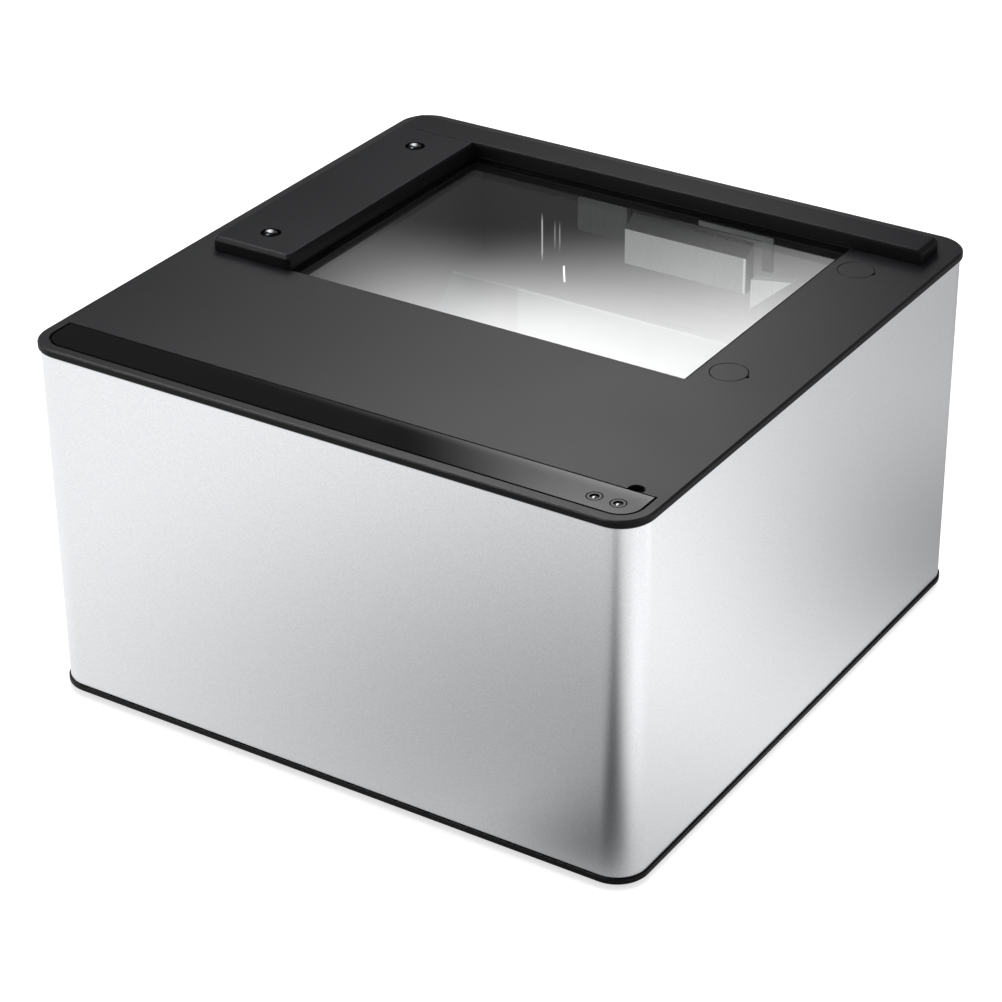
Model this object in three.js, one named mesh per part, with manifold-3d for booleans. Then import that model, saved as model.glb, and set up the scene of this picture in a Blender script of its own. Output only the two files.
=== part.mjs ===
// Table-top scanner for passports and identity cards. Lengths are millimetres: +X is right, +Y is the
// back, +Z is up, and the origin is on the table below the middle of the cover.
// An aluminium sleeve is clamped between the top cover and the base pan by four hexagonal spacers. Two
// of the four upper screws also hold the guide plate, and the other two lie under round plugs.

import * as THREE from 'three';
import { mergeVertices } from 'three/addons/utils/BufferGeometryUtils.js';
import Module from 'manifold-3d';

const wasm = await Module();
wasm.setup();

// Casing
const BODY_WIDTH = 200;
const BODY_DEPTH = 200;
const CORNER_RADIUS = 10.3;
const FOOT_DROP = 2;
const BASE_FLOOR = 2;
const SLEEVE_HEIGHT = 109.4;
const SLEEVE_WALL = 2;
const COVER_PLATE = 2.4;
const COVER_OVERHANG = 0.8;
const BASE_OVERHANG = 0.5;
const COVER_CHAMFER = 0.5;
const COVER_FOOT_CHAMFER = 0.35;
const SLEEVE_CHAMFER = 0.35;
const BASE_CHAMFER = 0.4;
const SKIRT_DEPTH = 7;
const SKIRT_WALL = 2;
const UPSTAND_HEIGHT = 8;
const SLIDE_GAP = 0.3;

// Window, guides and what holds the cover down
const WINDOW_RIGHT_MARGIN = 29.8;
const WINDOW_FRONT_MARGIN = 77.9;
const WINDOW_BACK_MARGIN = 22.8;
const WINDOW_WALL = 2;
const LEDGE_WIDTH = 1.6;
const LEDGE_THICKNESS = 2.2;
const GLASS_THICKNESS = 3;
const GLASS_RECESS = 0.4;
const GLASS_GAP = 0.4;
const GLASS_CHAMFER = 0.3;
const SEAL_THICKNESS = 0.4;
const SEAL_WIDTH = 1.2;
const GUIDE_HEIGHT = 4.6;
const GUIDE_LEFT_MARGIN = 8.6;
const GUIDE_WIDTH = 28;
const GUIDE_FRONT_LAP = 0.7;
const GUIDE_END_CHAMFER = 1.2;
const GUIDE_SIDE_CHAMFER = 0.6;
const GUIDE_CORNER_RADIUS = 1.4;
const BAR_WIDTH = 11.4;
const BAR_RIGHT_MARGIN = 6.8;
const BAR_EDGE_CHAMFER = 0.4;
const BAR_SCREW_INSET = 22;
const BOSS_RADIUS = 7.4;
const BOSS_FLOOR = 2.1;
const FRONT_SCREW_INSET = 10;
const BACK_SCREW_INSET = 12.4;
const GUIDE_SCREW_SHIFT = 0.5;
const PLUG_OFFSET = 8.1;
const PLUG_RADIUS = 5.4;
const PLUG_THICKNESS = 1.7;
const PLUG_SKIRT_RADIUS = 4.4;
const PLUG_SKIRT_WALL = 0.9;
const PLUG_SKIRT_DEPTH = 1.8;
const PLUG_GAP = 0.15;
const PRY_NOTCH_RADIUS = 0.7;
const PRY_NOTCH_DEPTH = 1.2;

// Screws and spacers
const SCREW_RADIUS = 1.5;
const SCREW_LENGTH = 11;
const SCREW_HEAD_RADIUS = 2.45;
const DOME_HEAD_RADIUS = 2.85;
const DOME_HEAD_HEIGHT = 2.2;
const SCREW_SOCKET_RADIUS = 1;
const SCREW_SOCKET_DEPTH = 0.9;
const SCREW_CLEARANCE = 0.2;
const HEAD_CLEARANCE = 0.25;
const COUNTERBORE_DEPTH = 1.8;
const PAN_CROWN_SHARE = 0.75;
const PLUG_SCREW_HEAD_HEIGHT = 1.3;
const SPACER_FLATS = 7;
const SMALL_SCREW_RADIUS = 1.1;
const SMALL_SCREW_LENGTH = 6;
const SMALL_HEAD_RADIUS = 2.1;
const SMALL_HEAD_HEIGHT = 1.2;
const BASE_SCREW_LENGTH = 9;
const BASE_HEAD_HEIGHT = 1.4;

// Indicator strip
const STRIP_MARGIN = 3.3;
const STRIP_DEPTH = 13.8;
const STRIP_THICKNESS = 1.2;
const STRIP_GAP = 0.5;
const STRIP_BACK_GAP = 0.2;
const STRIP_SINK = 0.1;
const LAMP_PITCH = 7.1;
const LAMP_RIGHT_INSET = 7.1;
const LAMP_BACK_INSET = 7.8;
const LAMP_RADIUS = 1.7;
const LAMP_FLANGE_RADIUS = 2.1;
const LAMP_FLANGE_HEIGHT = 0.8;
const LAMP_SINK = 0.2;
const LAMP_RECESS_RADIUS = 2.1;
const LAMP_GAP = 0.2;
const STRIP_NOTCH_RADIUS = 2.3;
const STRIP_NOTCH_SETBACK = 0.8;
const STRIP_NOTCH_INSET = 6.8;
const STRIP_NOTCH_DEPTH = 2;
const INDICATOR_BOARD_WIDTH = 20;
const INDICATOR_BOARD_DEPTH = 6.6;
const INDICATOR_BOARD_DROP = 4;
const INDICATOR_BOARD_END = 2.3;
const INDICATOR_POST_RADIUS = 1.4;
const INDICATOR_POST_PITCH = 4.6;

// Optical chamber, mirror and light
const CHAMBER_WALL = 2;
const CHAMBER_SIDE_MARGIN = 1;
const CHAMBER_FRONT_MARGIN = 5;
const CHAMBER_BACK_MARGIN = 6.8;
const CHAMBER_FLOOR_HEIGHT = 16;
const CHAMBER_FLOOR_DEPTH = 36;
const CHAMBER_SHELF_DEPTH = 16.5;
const CHAMBER_SHELF_DROP = 31.4;
const CHAMBER_FLANGE = 8;
const CHAMBER_FLANGE_THICKNESS = 2;
const CHAMBER_SCREW_SPREAD = 90;
const CHAMBER_BOSS_RADIUS = 3;
const MIRROR_THICKNESS = 3;
const MIRROR_SIDE_GAP = 1.5;
const MIRROR_END_GAP = 2;
const MIRROR_SEAT_GAP = 0.3;
const APERTURE_WIDTH = 48;
const APERTURE_HEIGHT = 38;
const DIFFUSER_WALL = 1.2;
const MAIN_DIFFUSER_WIDTH = 43;
const MAIN_DIFFUSER_HEIGHT = 11.8;
const MAIN_DIFFUSER_DEPTH = 5;
const MAIN_DIFFUSER_SLANT = 3.6;
const MAIN_DIFFUSER_MARGIN = 35.8;
const MAIN_DIFFUSER_DROP = 14.9;
const DIFFUSER_SPACING = 0.7;
const SIDE_DIFFUSER_WIDTH = 18;
const SIDE_DIFFUSER_HEIGHT = 11.6;
const SIDE_DIFFUSER_DEPTH = 2.6;
const SIDE_DIFFUSER_RISE = 5.9;
const CORNER_DIFFUSER_WIDTH = 14.2;
const CORNER_DIFFUSER_HEIGHT = 12.4;
const CORNER_DIFFUSER_SHOULDER = 2.3;
const CORNER_DIFFUSER_DEPTH = 3;
const CORNER_DIFFUSER_SINK = 5.1;
const CLIP_WIDTH = 25.7;
const CLIP_HEIGHT = 1.6;
const CLIP_THICKNESS = 0.8;
const CLIP_ARM_WIDTH = 3.6;
const CLIP_ARM_LENGTH = 9.8;
const CLIP_REACH = 11.1;
const LAMP_BOARD_THICKNESS = 1.2;
const LAMP_CHIP = 2.8;
const LAMP_CHIP_HEIGHT = 1;
const LAMP_CHIP_COUNT = 6;

// Camera
const CAMERA_BOARD = 38;
const BOARD_THICKNESS = 1.6;
const CAMERA_HEIGHT = 40;
const CAMERA_SETBACK = 9.5;
const CAMERA_POST = 3;
const CAMERA_POST_RADIUS = 2.2;
const CAMERA_POST_INSET = 4;
const LENS_MOUNT = 16;
const LENS_MOUNT_DEPTH = 7;
const LENS_RADIUS = 6.6;
const LENS_LENGTH = 13;
const LENS_RIM = 1.4;
const LENS_BORE_DEPTH = 3;
const LENS_THREAD_RADIUS = 5.6;
const BRACKET_THICKNESS = 1.6;
const BRACKET_WIDTH = 44;
const BRACKET_FOOT = 22;

// Circuit boards and cables
const MAIN_BOARD_SIDE_GAP = 18;
const MAIN_BOARD_FRONT_GAP = 16.5;
const MAIN_BOARD_BACK_GAP = 32.7;
const MAIN_BOARD_POST = 4;
const BOARD_PEG_INSET = 4;
const BOARD_POST_RADIUS = 3;
const BOARD_PEG_RADIUS = 1.2;
const BOARD_PEG_RISE = 0.8;
const PROCESSOR = 17;
const PROCESSOR_HEIGHT = 1.6;
const HEAT_SINK_HEIGHT = 5;
const HEAT_SINK_FINS = 5;
const HEAT_SINK_BASE = 1.4;
const HEAT_SINK_FIN = 1.3;
const MEMORY_WIDTH = 9;
const MEMORY_DEPTH = 12;
const MEMORY_HEIGHT = 1.1;
const RIBBON_WIDTH = 14;
const RIBBON_THICKNESS = 0.5;
const RIBBON_BEND = 3;
const CONNECTOR_WIDTH = 18;
const CONNECTOR_HEIGHT = 3;
const CONNECTOR_DEPTH = 5;
const IO_BOARD_WIDTH = 62;
const IO_BOARD_DEPTH = 30;
const IO_BOARD_HEIGHT = 14;

// Back panel with its sockets and the power switch
const PANEL_WIDTH = 96;
const PANEL_HEIGHT = 26;
const PANEL_RAISE = 14;
const PANEL_RADIUS = 3;
const PANEL_RECESS = 1.6;
const PANEL_FLANGE = 3;
const PANEL_FLANGE_THICKNESS = 1.4;
const SOCKET_CLEARANCE = 0.3;
const USB_WIDTH = 12;
const USB_HEIGHT = 11;
const USB_DEPTH = 16.5;
const USB_MOUTH_WIDTH = 8.5;
const USB_MOUTH_HEIGHT = 7.8;
const USB_BEVEL = 1.6;
const USB_TONGUE_RECESS = 0.8;
const USB_TONGUE_WIDTH = 5.6;
const USB_TONGUE_HEIGHT = 3.2;
const USB_CAVITY_DEPTH = 9.5;
const USB_SHARE = 0.06;
const JACK_WIDTH = 9;
const JACK_HEIGHT = 11;
const JACK_DEPTH = 14;
const JACK_BORE_RADIUS = 3.2;
const JACK_PIN_RADIUS = 1;
const JACK_BORE_DEPTH = 9.5;
const JACK_SHARE = -0.2;
const SWITCH_WIDTH = 21;
const SWITCH_HEIGHT = 15;
const SWITCH_BEZEL = 1.4;
const SWITCH_BODY_WIDTH = 19;
const SWITCH_BODY_HEIGHT = 12.8;
const SWITCH_BODY_DEPTH = 17;
const SWITCH_SHARE = 0.3;
const ROCKER_WIDTH = 16.4;
const ROCKER_HEIGHT = 10;
const ROCKER_GAP = 0.35;
const ROCKER_TILT_DEGREES = 9;
const ROCKER_THROAT = 1.6;
const ROCKER_SWAY = 1.3;
const ROCKER_PIVOT_RADIUS = 1.2;
const ROCKER_PIVOT_DEPTH = 6;

// Feet
const FOOT_RADIUS = 7;
const FOOT_RECESS = 0.7;
const FOOT_INSET = 20;
const FOOT_TAPER = 0.5;

// Cooling slots in the base
const VENT_SLOTS = 9;
const VENT_LENGTH = 34;
const VENT_WIDTH = 2.4;
const VENT_PITCH = 6;

// Overrun of every cutting tool, and the fineness of round forms
const OVERRUN = 1;
const CASING_STEPS = 20;
const HIDDEN_STEPS = 6;
const SMALL_STEPS = 4;
const ROUND_STEPS = 32;
const FINE_ROUND_STEPS = 16;
const COARSE_ROUND_STEPS = 12;

// Finishes
const finish = (color, roughness, metalness = 0, extra = {}) =>
  new THREE.MeshStandardMaterial({ color, roughness, metalness, ...extra });
const ALUMINIUM = finish(0xc9cbce, 0.42, 0.9);
const BLACK_PLASTIC = finish(0x3a3a3c, 0.55);
const GLOSS_BLACK = finish(0x0c0c0e, 0.12);
const MATT_BLACK = finish(0x151516, 0.9);
const RUBBER = finish(0x1c1c1d, 0.95);
const STEEL = finish(0xb4b6b8, 0.3, 1);
const GLASS = finish(0xe8efec, 0.03, 0, { transparent: true, opacity: 0.25 });
const SMOKED_LENS = finish(0x3c3d40, 0.2);
const DIFFUSER_WHITE = finish(0xd7dad8, 0.5);
const MIRROR_SILVER = finish(0xdfe3e4, 0.04, 1);
const BOARD_GREEN = finish(0x1e5a38, 0.5);
const CHIP_BLACK = finish(0x18181a, 0.5);
const RIBBON_WHITE = finish(0xd9d8d2, 0.5);

const RIGHT_ANGLE = Math.PI / 2;

// Derived levels, from the table up
const baseUnder = FOOT_DROP;
const floorTop = baseUnder + BASE_FLOOR;
const sleeveTop = floorTop + SLEEVE_HEIGHT;
const coverTop = sleeveTop + COVER_PLATE;
const guideTop = coverTop + GUIDE_HEIGHT;
const glassTop = coverTop - GLASS_RECESS;
const glassUnder = glassTop - GLASS_THICKNESS;
const ledgeTop = glassUnder - SEAL_THICKNESS;
const ledgeUnder = ledgeTop - LEDGE_THICKNESS;

// Rectangles in plan, each with its four sides
const plan = (left, right, front, back) => ({ left, right, front, back });
const centred = (width, depth, x = 0, y = 0) =>
  plan(x - width / 2, x + width / 2, y - depth / 2, y + depth / 2);
const grown = (r, by) => plan(r.left - by, r.right + by, r.front - by, r.back + by);
const middleX = (r) => (r.left + r.right) / 2;
const middleY = (r) => (r.front + r.back) / 2;

const cover = centred(BODY_WIDTH, BODY_DEPTH);
const sleeve = grown(cover, -COVER_OVERHANG);
const bore = grown(sleeve, -SLEEVE_WALL);
const insert = grown(bore, -SLIDE_GAP);
const base = grown(sleeve, BASE_OVERHANG);
const sleeveRadius = CORNER_RADIUS - COVER_OVERHANG;
const boreRadius = sleeveRadius - SLEEVE_WALL;
const insertRadius = boreRadius - SLIDE_GAP;
const baseRadius = sleeveRadius + BASE_OVERHANG;

const guideLeft = cover.left + GUIDE_LEFT_MARGIN;
const windowPlan = plan(
  guideLeft + GUIDE_WIDTH,
  cover.right - WINDOW_RIGHT_MARGIN,
  cover.front + WINDOW_FRONT_MARGIN,
  cover.back - WINDOW_BACK_MARGIN,
);
const guidePlan = plan(guideLeft, windowPlan.left, windowPlan.front - GUIDE_FRONT_LAP, windowPlan.back);
const barRight = cover.right - BAR_RIGHT_MARGIN;
const barPlan = plan(guideLeft, barRight, windowPlan.back, windowPlan.back + BAR_WIDTH);

const SIDES = ['left', 'right'];
const ENDS = ['front', 'rear'];

// The four places where the cover is screwed down
const guideScrewX = middleX(guidePlan) - GUIDE_SCREW_SHIFT;
const plugX = windowPlan.right + PLUG_OFFSET;
const frontScrewY = windowPlan.front + FRONT_SCREW_INSET;
const backScrewY = windowPlan.back - BACK_SCREW_INSET;
const COLUMNS = SIDES.flatMap((side) => ENDS.map((end) => ({
  side,
  end,
  x: side === 'left' ? guideScrewX : plugX,
  y: (end === 'front' ? frontScrewY : backScrewY) + (side === 'left' ? GUIDE_SCREW_SHIFT : 0),
})));
const bossUnder = ledgeUnder + SLIDE_GAP;
const spacerLength = bossUnder - floorTop;
const plugSeat = coverTop - PLUG_THICKNESS;
const pocketFloor = bossUnder + BOSS_FLOOR;
const coverMiddle = (sleeveTop + coverTop) / 2;
const floorMiddle = (baseUnder + floorTop) / 2;

// Turns a closed geometry into a solid, and solids into one by union
function solidOf(geometry) {
  geometry.deleteAttribute('normal');
  geometry.deleteAttribute('uv');
  const merged = mergeVertices(geometry, 1e-5);
  const mesh = new wasm.Mesh({
    numProp: 3,
    vertProperties: new Float32Array(merged.attributes.position.array),
    triVerts: new Uint32Array(merged.index.array),
  });
  return new wasm.Manifold(mesh);
}

const join = (solids) => solids.reduce((whole, one) => whole.add(one));
const cut = (solid, tools) => tools.reduce((left, tool) => left.subtract(tool), solid);

// A named mesh of a solid
function piece(name, solid, material) {
  const mesh = solid.getMesh();
  const geometry = new THREE.BufferGeometry();
  const points = new Float32Array(mesh.numVert * 3);
  for (let i = 0; i < mesh.numVert; i += 1) {
    for (let k = 0; k < 3; k += 1) points[i * 3 + k] = mesh.vertProperties[i * mesh.numProp + k];
  }
  geometry.setAttribute('position', new THREE.BufferAttribute(points, 3));
  geometry.setIndex(new THREE.BufferAttribute(new Uint32Array(mesh.triVerts), 1));
  geometry.computeVertexNormals();
  const made = new THREE.Mesh(geometry, material);
  made.name = name;
  return made;
}

const allRound = (radius) => [radius, radius, radius, radius];

// Points of a rectangle with rounded corners, anticlockwise from the front right one. The radii are
// given in the same order, and a radius of zero gives a sharp corner.
function roundedOutline(r, radii, steps) {
  const [frontRight, backRight, backLeft, frontLeft] = radii;
  const corners = [
    [r.right, r.front, frontRight, -1, 1, -RIGHT_ANGLE],
    [r.right, r.back, backRight, -1, -1, 0],
    [r.left, r.back, backLeft, 1, -1, RIGHT_ANGLE],
    [r.left, r.front, frontLeft, 1, 1, 2 * RIGHT_ANGLE],
  ];
  const points = [];
  for (const [x, y, radius, inX, inY, start] of corners) {
    const count = radius > 0 ? steps : 0;
    for (let i = 0; i <= count; i += 1) {
      const angle = start + (count ? (i / count) * RIGHT_ANGLE : 0);
      points.push([
        x + inX * radius + radius * Math.cos(angle),
        y + inY * radius + radius * Math.sin(angle),
      ]);
    }
  }
  return points;
}

// A closed solid through outlines of equal point count, the lowest first
function loft(rings) {
  const count = rings[0].points.length;
  const positions = rings.flatMap(({ points, z }) => points.flatMap(([x, y]) => [x, y, z]));
  const index = [];
  for (let ring = 0; ring < rings.length - 1; ring += 1) {
    for (let i = 0; i < count; i += 1) {
      const a = ring * count + i;
      const b = ring * count + ((i + 1) % count);
      index.push(a, b, b + count, a, b + count, a + count);
    }
  }
  const cap = (ring) => rings[ring].points.map(([x, y]) => new THREE.Vector2(x, y));
  const last = rings.length - 1;
  for (const [a, b, c] of THREE.ShapeUtils.triangulateShape(cap(0), [])) index.push(a, c, b);
  for (const [a, b, c] of THREE.ShapeUtils.triangulateShape(cap(last), [])) {
    index.push(last * count + a, last * count + b, last * count + c);
  }
  const geometry = new THREE.BufferGeometry();
  geometry.setAttribute('position', new THREE.Float32BufferAttribute(positions, 3));
  geometry.setIndex(index);
  return solidOf(geometry);
}

// A slab with rounded corners, chamfered along its lower and upper edges
function roundedSlab(r, radius, bottom, top, lowChamfer = 0, highChamfer = 0, steps = CASING_STEPS) {
  const ring = (inset, z) => ({
    points: roundedOutline(grown(r, -inset), allRound(radius - inset), steps),
    z,
  });
  const rings = [ring(lowChamfer, bottom)];
  if (lowChamfer > 0) rings.push(ring(0, bottom + lowChamfer));
  if (highChamfer > 0) rings.push(ring(0, top - highChamfer));
  rings.push(ring(highChamfer, top));
  return loft(rings);
}

// A raised guide: straight sides and a chamfer of its own width along each upper edge
function guideSolid(r, radii, chamfers, height) {
  const upper = plan(
    r.left + chamfers.left,
    r.right - chamfers.right,
    r.front + chamfers.front,
    r.back - chamfers.back,
  );
  const drop = Math.max(...Object.values(chamfers));
  return loft([
    { points: roundedOutline(r, radii, SMALL_STEPS), z: 0 },
    { points: roundedOutline(r, radii, SMALL_STEPS), z: height - drop },
    { points: roundedOutline(upper, radii, SMALL_STEPS), z: height },
  ]);
}

function block(r, bottom, top) {
  const box = new THREE.BoxGeometry(r.right - r.left, r.back - r.front, top - bottom);
  box.translate(middleX(r), middleY(r), (bottom + top) / 2);
  return solidOf(box);
}

// Cylinders along Z and along Y
function post(radius, bottom, top, x = 0, y = 0, steps = FINE_ROUND_STEPS) {
  const rod = new THREE.CylinderGeometry(radius, radius, top - bottom, steps);
  rod.rotateX(RIGHT_ANGLE);
  rod.translate(x, y, (bottom + top) / 2);
  return solidOf(rod);
}

function rodAlongY(radius, front, back, x = 0, z = 0, steps = FINE_ROUND_STEPS) {
  const rod = new THREE.CylinderGeometry(radius, radius, back - front, steps);
  rod.translate(x, (front + back) / 2, z);
  return solidOf(rod);
}

// A plain upright cylinder with few sides, for hidden posts and for the holes of small screws
const coarsePost = (radius, bottom, top, x, y) => post(radius, bottom, top, x, y, COARSE_ROUND_STEPS);

// A profile of [y, z] points, extruded from left to right
function prismAlongX(points, left, right) {
  const shape = new THREE.Shape(points.map(([y, z]) => new THREE.Vector2(y, z)));
  const geometry = new THREE.ExtrudeGeometry(shape, { depth: right - left, bevelEnabled: false });
  const axes = [new THREE.Vector3(0, 1, 0), new THREE.Vector3(0, 0, 1), new THREE.Vector3(1, 0, 0)];
  geometry.applyMatrix4(new THREE.Matrix4().makeBasis(...axes));
  geometry.translate(left, 0, 0);
  return solidOf(geometry);
}

// A plate with rounded corners that stands upright, facing the back: r holds x and z
function uprightPlate(r, radius, front, back, steps = SMALL_STEPS) {
  const flat = roundedSlab(r, radius, 0, back - front, 0, 0, steps);
  return flat.rotate([90, 0, 0]).translate([0, back, 0]);
}

// A solid of revolution about Z, from [radius, z] points that start and end on the axis
function turned(points, steps = FINE_ROUND_STEPS) {
  const profile = points.map(([radius, z]) => new THREE.Vector2(radius, z));
  const lathe = new THREE.LatheGeometry(profile, steps);
  lathe.rotateX(RIGHT_ANGLE);
  return solidOf(lathe);
}

// Screws stand on their seat at zero: the head is above, the shank below
function socketScrew(radius, length, headRadius, headHeight) {
  const dome = [];
  for (let i = 0; i <= SMALL_STEPS; i += 1) {
    const angle = (i / SMALL_STEPS) * RIGHT_ANGLE;
    const reach = SCREW_SOCKET_RADIUS + (headRadius - SCREW_SOCKET_RADIUS) * Math.cos(angle);
    dome.push([reach, headHeight * Math.sin(angle)]);
  }
  const socketFloor = headHeight - SCREW_SOCKET_DEPTH;
  return turned([
    [0, -length],
    [radius, -length],
    [radius, 0],
    ...dome,
    [SCREW_SOCKET_RADIUS, socketFloor],
    [0, socketFloor],
  ]);
}

function panScrew(radius, length, headRadius, headHeight) {
  return turned([
    [0, -length],
    [radius, -length],
    [radius, 0],
    [headRadius, 0],
    [headRadius, headHeight / 2],
    [headRadius * PAN_CROWN_SHARE, headHeight],
    [0, headHeight],
  ], COARSE_ROUND_STEPS);
}

// A small screw that is driven upwards, with its seat at the given height
function smallScrew(name, x, y, z) {
  const solid = panScrew(SMALL_SCREW_RADIUS, SMALL_SCREW_LENGTH, SMALL_HEAD_RADIUS, SMALL_HEAD_HEIGHT);
  const screw = piece(name, solid, STEEL);
  screw.rotation.x = 2 * RIGHT_ANGLE;
  screw.position.set(x, y, z);
  return screw;
}

// Casing: sleeve, cover and base
const panelPlan = centred(PANEL_WIDTH, PANEL_HEIGHT, 0, floorTop + PANEL_RAISE + PANEL_HEIGHT / 2);

function sleeveSolid() {
  const outside = roundedSlab(sleeve, sleeveRadius, floorTop, sleeveTop, SLEEVE_CHAMFER, SLEEVE_CHAMFER);
  const inside = roundedSlab(bore, boreRadius, floorTop - OVERRUN, sleeveTop + OVERRUN);
  const opening = uprightPlate(panelPlan, PANEL_RADIUS, bore.back - OVERRUN, sleeve.back + OVERRUN);
  return cut(outside, [inside, opening]);
}

const stripPlan = plan(
  cover.left + STRIP_MARGIN,
  cover.right - STRIP_MARGIN,
  cover.front + STRIP_MARGIN,
  cover.front + STRIP_MARGIN + STRIP_DEPTH,
);
const stripRadius = CORNER_RADIUS - STRIP_MARGIN;
const stripRadii = [stripRadius, 0, 0, stripRadius];
const lampY = stripPlan.back - LAMP_BACK_INSET;
const lampRight = stripPlan.right - LAMP_RIGHT_INSET;
const LAMPS = [
  { name: 'indicator_lens_left', x: lampRight - LAMP_PITCH },
  { name: 'indicator_lens_right', x: lampRight },
];
const stripUnder = coverTop - STRIP_THICKNESS - STRIP_SINK;
const indicatorBoardRight = lampRight + INDICATOR_BOARD_END;
const indicatorBoardPlan = plan(
  indicatorBoardRight - INDICATOR_BOARD_WIDTH,
  indicatorBoardRight,
  lampY - INDICATOR_BOARD_DEPTH / 2,
  lampY + INDICATOR_BOARD_DEPTH / 2,
);
const indicatorBoardTop = sleeveTop - INDICATOR_BOARD_DROP;
const indicatorPostX = indicatorBoardPlan.left + INDICATOR_POST_RADIUS;
const indicatorPosts = [indicatorPostX, indicatorPostX + INDICATOR_POST_PITCH];

const chamberPlan = plan(
  windowPlan.left - CHAMBER_SIDE_MARGIN,
  windowPlan.right + CHAMBER_SIDE_MARGIN,
  windowPlan.front - CHAMBER_FRONT_MARGIN,
  windowPlan.back + CHAMBER_BACK_MARGIN,
);
const chamberScrewX = [-1, 1].map((side) => middleX(chamberPlan) + (side * CHAMBER_SCREW_SPREAD) / 2);
const chamberScrewY = [
  chamberPlan.front - CHAMBER_WALL - CHAMBER_FLANGE / 2,
  chamberPlan.back + CHAMBER_WALL + CHAMBER_FLANGE / 2,
];
const chamberScrews = chamberScrewY.flatMap((y) => chamberScrewX.map((x) => [x, y]));
const barScrewX = [barPlan.left + BAR_SCREW_INSET, barPlan.right - BAR_SCREW_INSET];
const barScrews = barScrewX.map((x) => [x, middleY(barPlan)]);

// The ring that the cover and the base each push into the sleeve
function insertRing(bottom, top) {
  const inside = grown(insert, -SKIRT_WALL);
  return cut(roundedSlab(insert, insertRadius, bottom, top, 0, 0, HIDDEN_STEPS), [
    roundedSlab(inside, insertRadius - SKIRT_WALL, bottom - OVERRUN, top + OVERRUN, 0, 0, HIDDEN_STEPS),
  ]);
}

function coverSolid() {
  const plate = roundedSlab(cover, CORNER_RADIUS, sleeveTop, coverTop, COVER_FOOT_CHAMFER, COVER_CHAMFER);
  const skirt = insertRing(sleeveTop - SKIRT_DEPTH, coverMiddle);
  const windowWall = block(grown(windowPlan, WINDOW_WALL), ledgeUnder, coverMiddle);
  const bosses = COLUMNS.map(({ x, y }) => post(BOSS_RADIUS, bossUnder, coverMiddle, x, y, ROUND_STEPS));
  const chamberBosses = chamberScrews.map(([x, y]) =>
    post(CHAMBER_BOSS_RADIUS, ledgeUnder, coverMiddle, x, y));
  const indicatorBosses = indicatorPosts.map((x) =>
    coarsePost(INDICATOR_POST_RADIUS, indicatorBoardTop, coverMiddle, x, lampY));
  const body = join([plate, skirt, windowWall, ...bosses, ...chamberBosses, ...indicatorBosses]);
  const windowCuts = [
    block(windowPlan, ledgeTop, coverTop + OVERRUN),
    block(grown(windowPlan, -LEDGE_WIDTH), ledgeUnder - OVERRUN, ledgeTop + OVERRUN),
  ];
  const stripCut = loft([
    { points: roundedOutline(stripPlan, stripRadii, CASING_STEPS / 2), z: stripUnder },
    { points: roundedOutline(stripPlan, stripRadii, CASING_STEPS / 2), z: coverTop + OVERRUN },
  ]);
  const notchX = stripPlan.right - STRIP_NOTCH_INSET;
  const notchFloor = coverTop - STRIP_NOTCH_DEPTH;
  const notchY = stripPlan.back + STRIP_NOTCH_SETBACK;
  const notch = post(STRIP_NOTCH_RADIUS, notchFloor, coverTop + OVERRUN, notchX, notchY);
  const lampHoles = LAMPS.map(({ x }) =>
    post(LAMP_RADIUS + LAMP_GAP, sleeveTop - OVERRUN, coverTop, x, lampY));
  const pilot = SMALL_SCREW_RADIUS + SCREW_CLEARANCE;
  const chamberPilots = chamberScrews.map(([x, y]) =>
    coarsePost(pilot, ledgeUnder - OVERRUN, coverMiddle, x, y));
  const barHoles = barScrews.map(([x, y]) =>
    coarsePost(pilot, sleeveTop - OVERRUN, coverTop + OVERRUN, x, y));
  return cut(body, [
    ...windowCuts,
    stripCut,
    notch,
    ...lampHoles,
    ...chamberPilots,
    ...barHoles,
    ...columnCuts(),
  ]);
}

// At the guide plate the cover has plain holes, and at the right it has stepped pockets for the plugs
function columnCuts() {
  const tools = [];
  for (const { side, x, y } of COLUMNS) {
    tools.push(post(SCREW_RADIUS + SCREW_CLEARANCE, bossUnder - OVERRUN, coverTop + OVERRUN, x, y));
    if (side === 'left') continue;
    tools.push(post(PLUG_RADIUS + PLUG_GAP, plugSeat, coverTop + OVERRUN, x, y, ROUND_STEPS));
    tools.push(post(PLUG_SKIRT_RADIUS + PLUG_GAP, pocketFloor, plugSeat + OVERRUN, x, y, ROUND_STEPS));
    const notchX = x + PLUG_RADIUS + PLUG_GAP;
    tools.push(coarsePost(PRY_NOTCH_RADIUS, coverTop - PRY_NOTCH_DEPTH, coverTop + OVERRUN, notchX, y));
  }
  return tools;
}

const FEET = [
  { name: 'foot_front_left', x: base.left + FOOT_INSET, y: base.front + FOOT_INSET },
  { name: 'foot_front_right', x: base.right - FOOT_INSET, y: base.front + FOOT_INSET },
  { name: 'foot_rear_left', x: base.left + FOOT_INSET, y: base.back - FOOT_INSET },
  { name: 'foot_rear_right', x: base.right - FOOT_INSET, y: base.back - FOOT_INSET },
];

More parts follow.
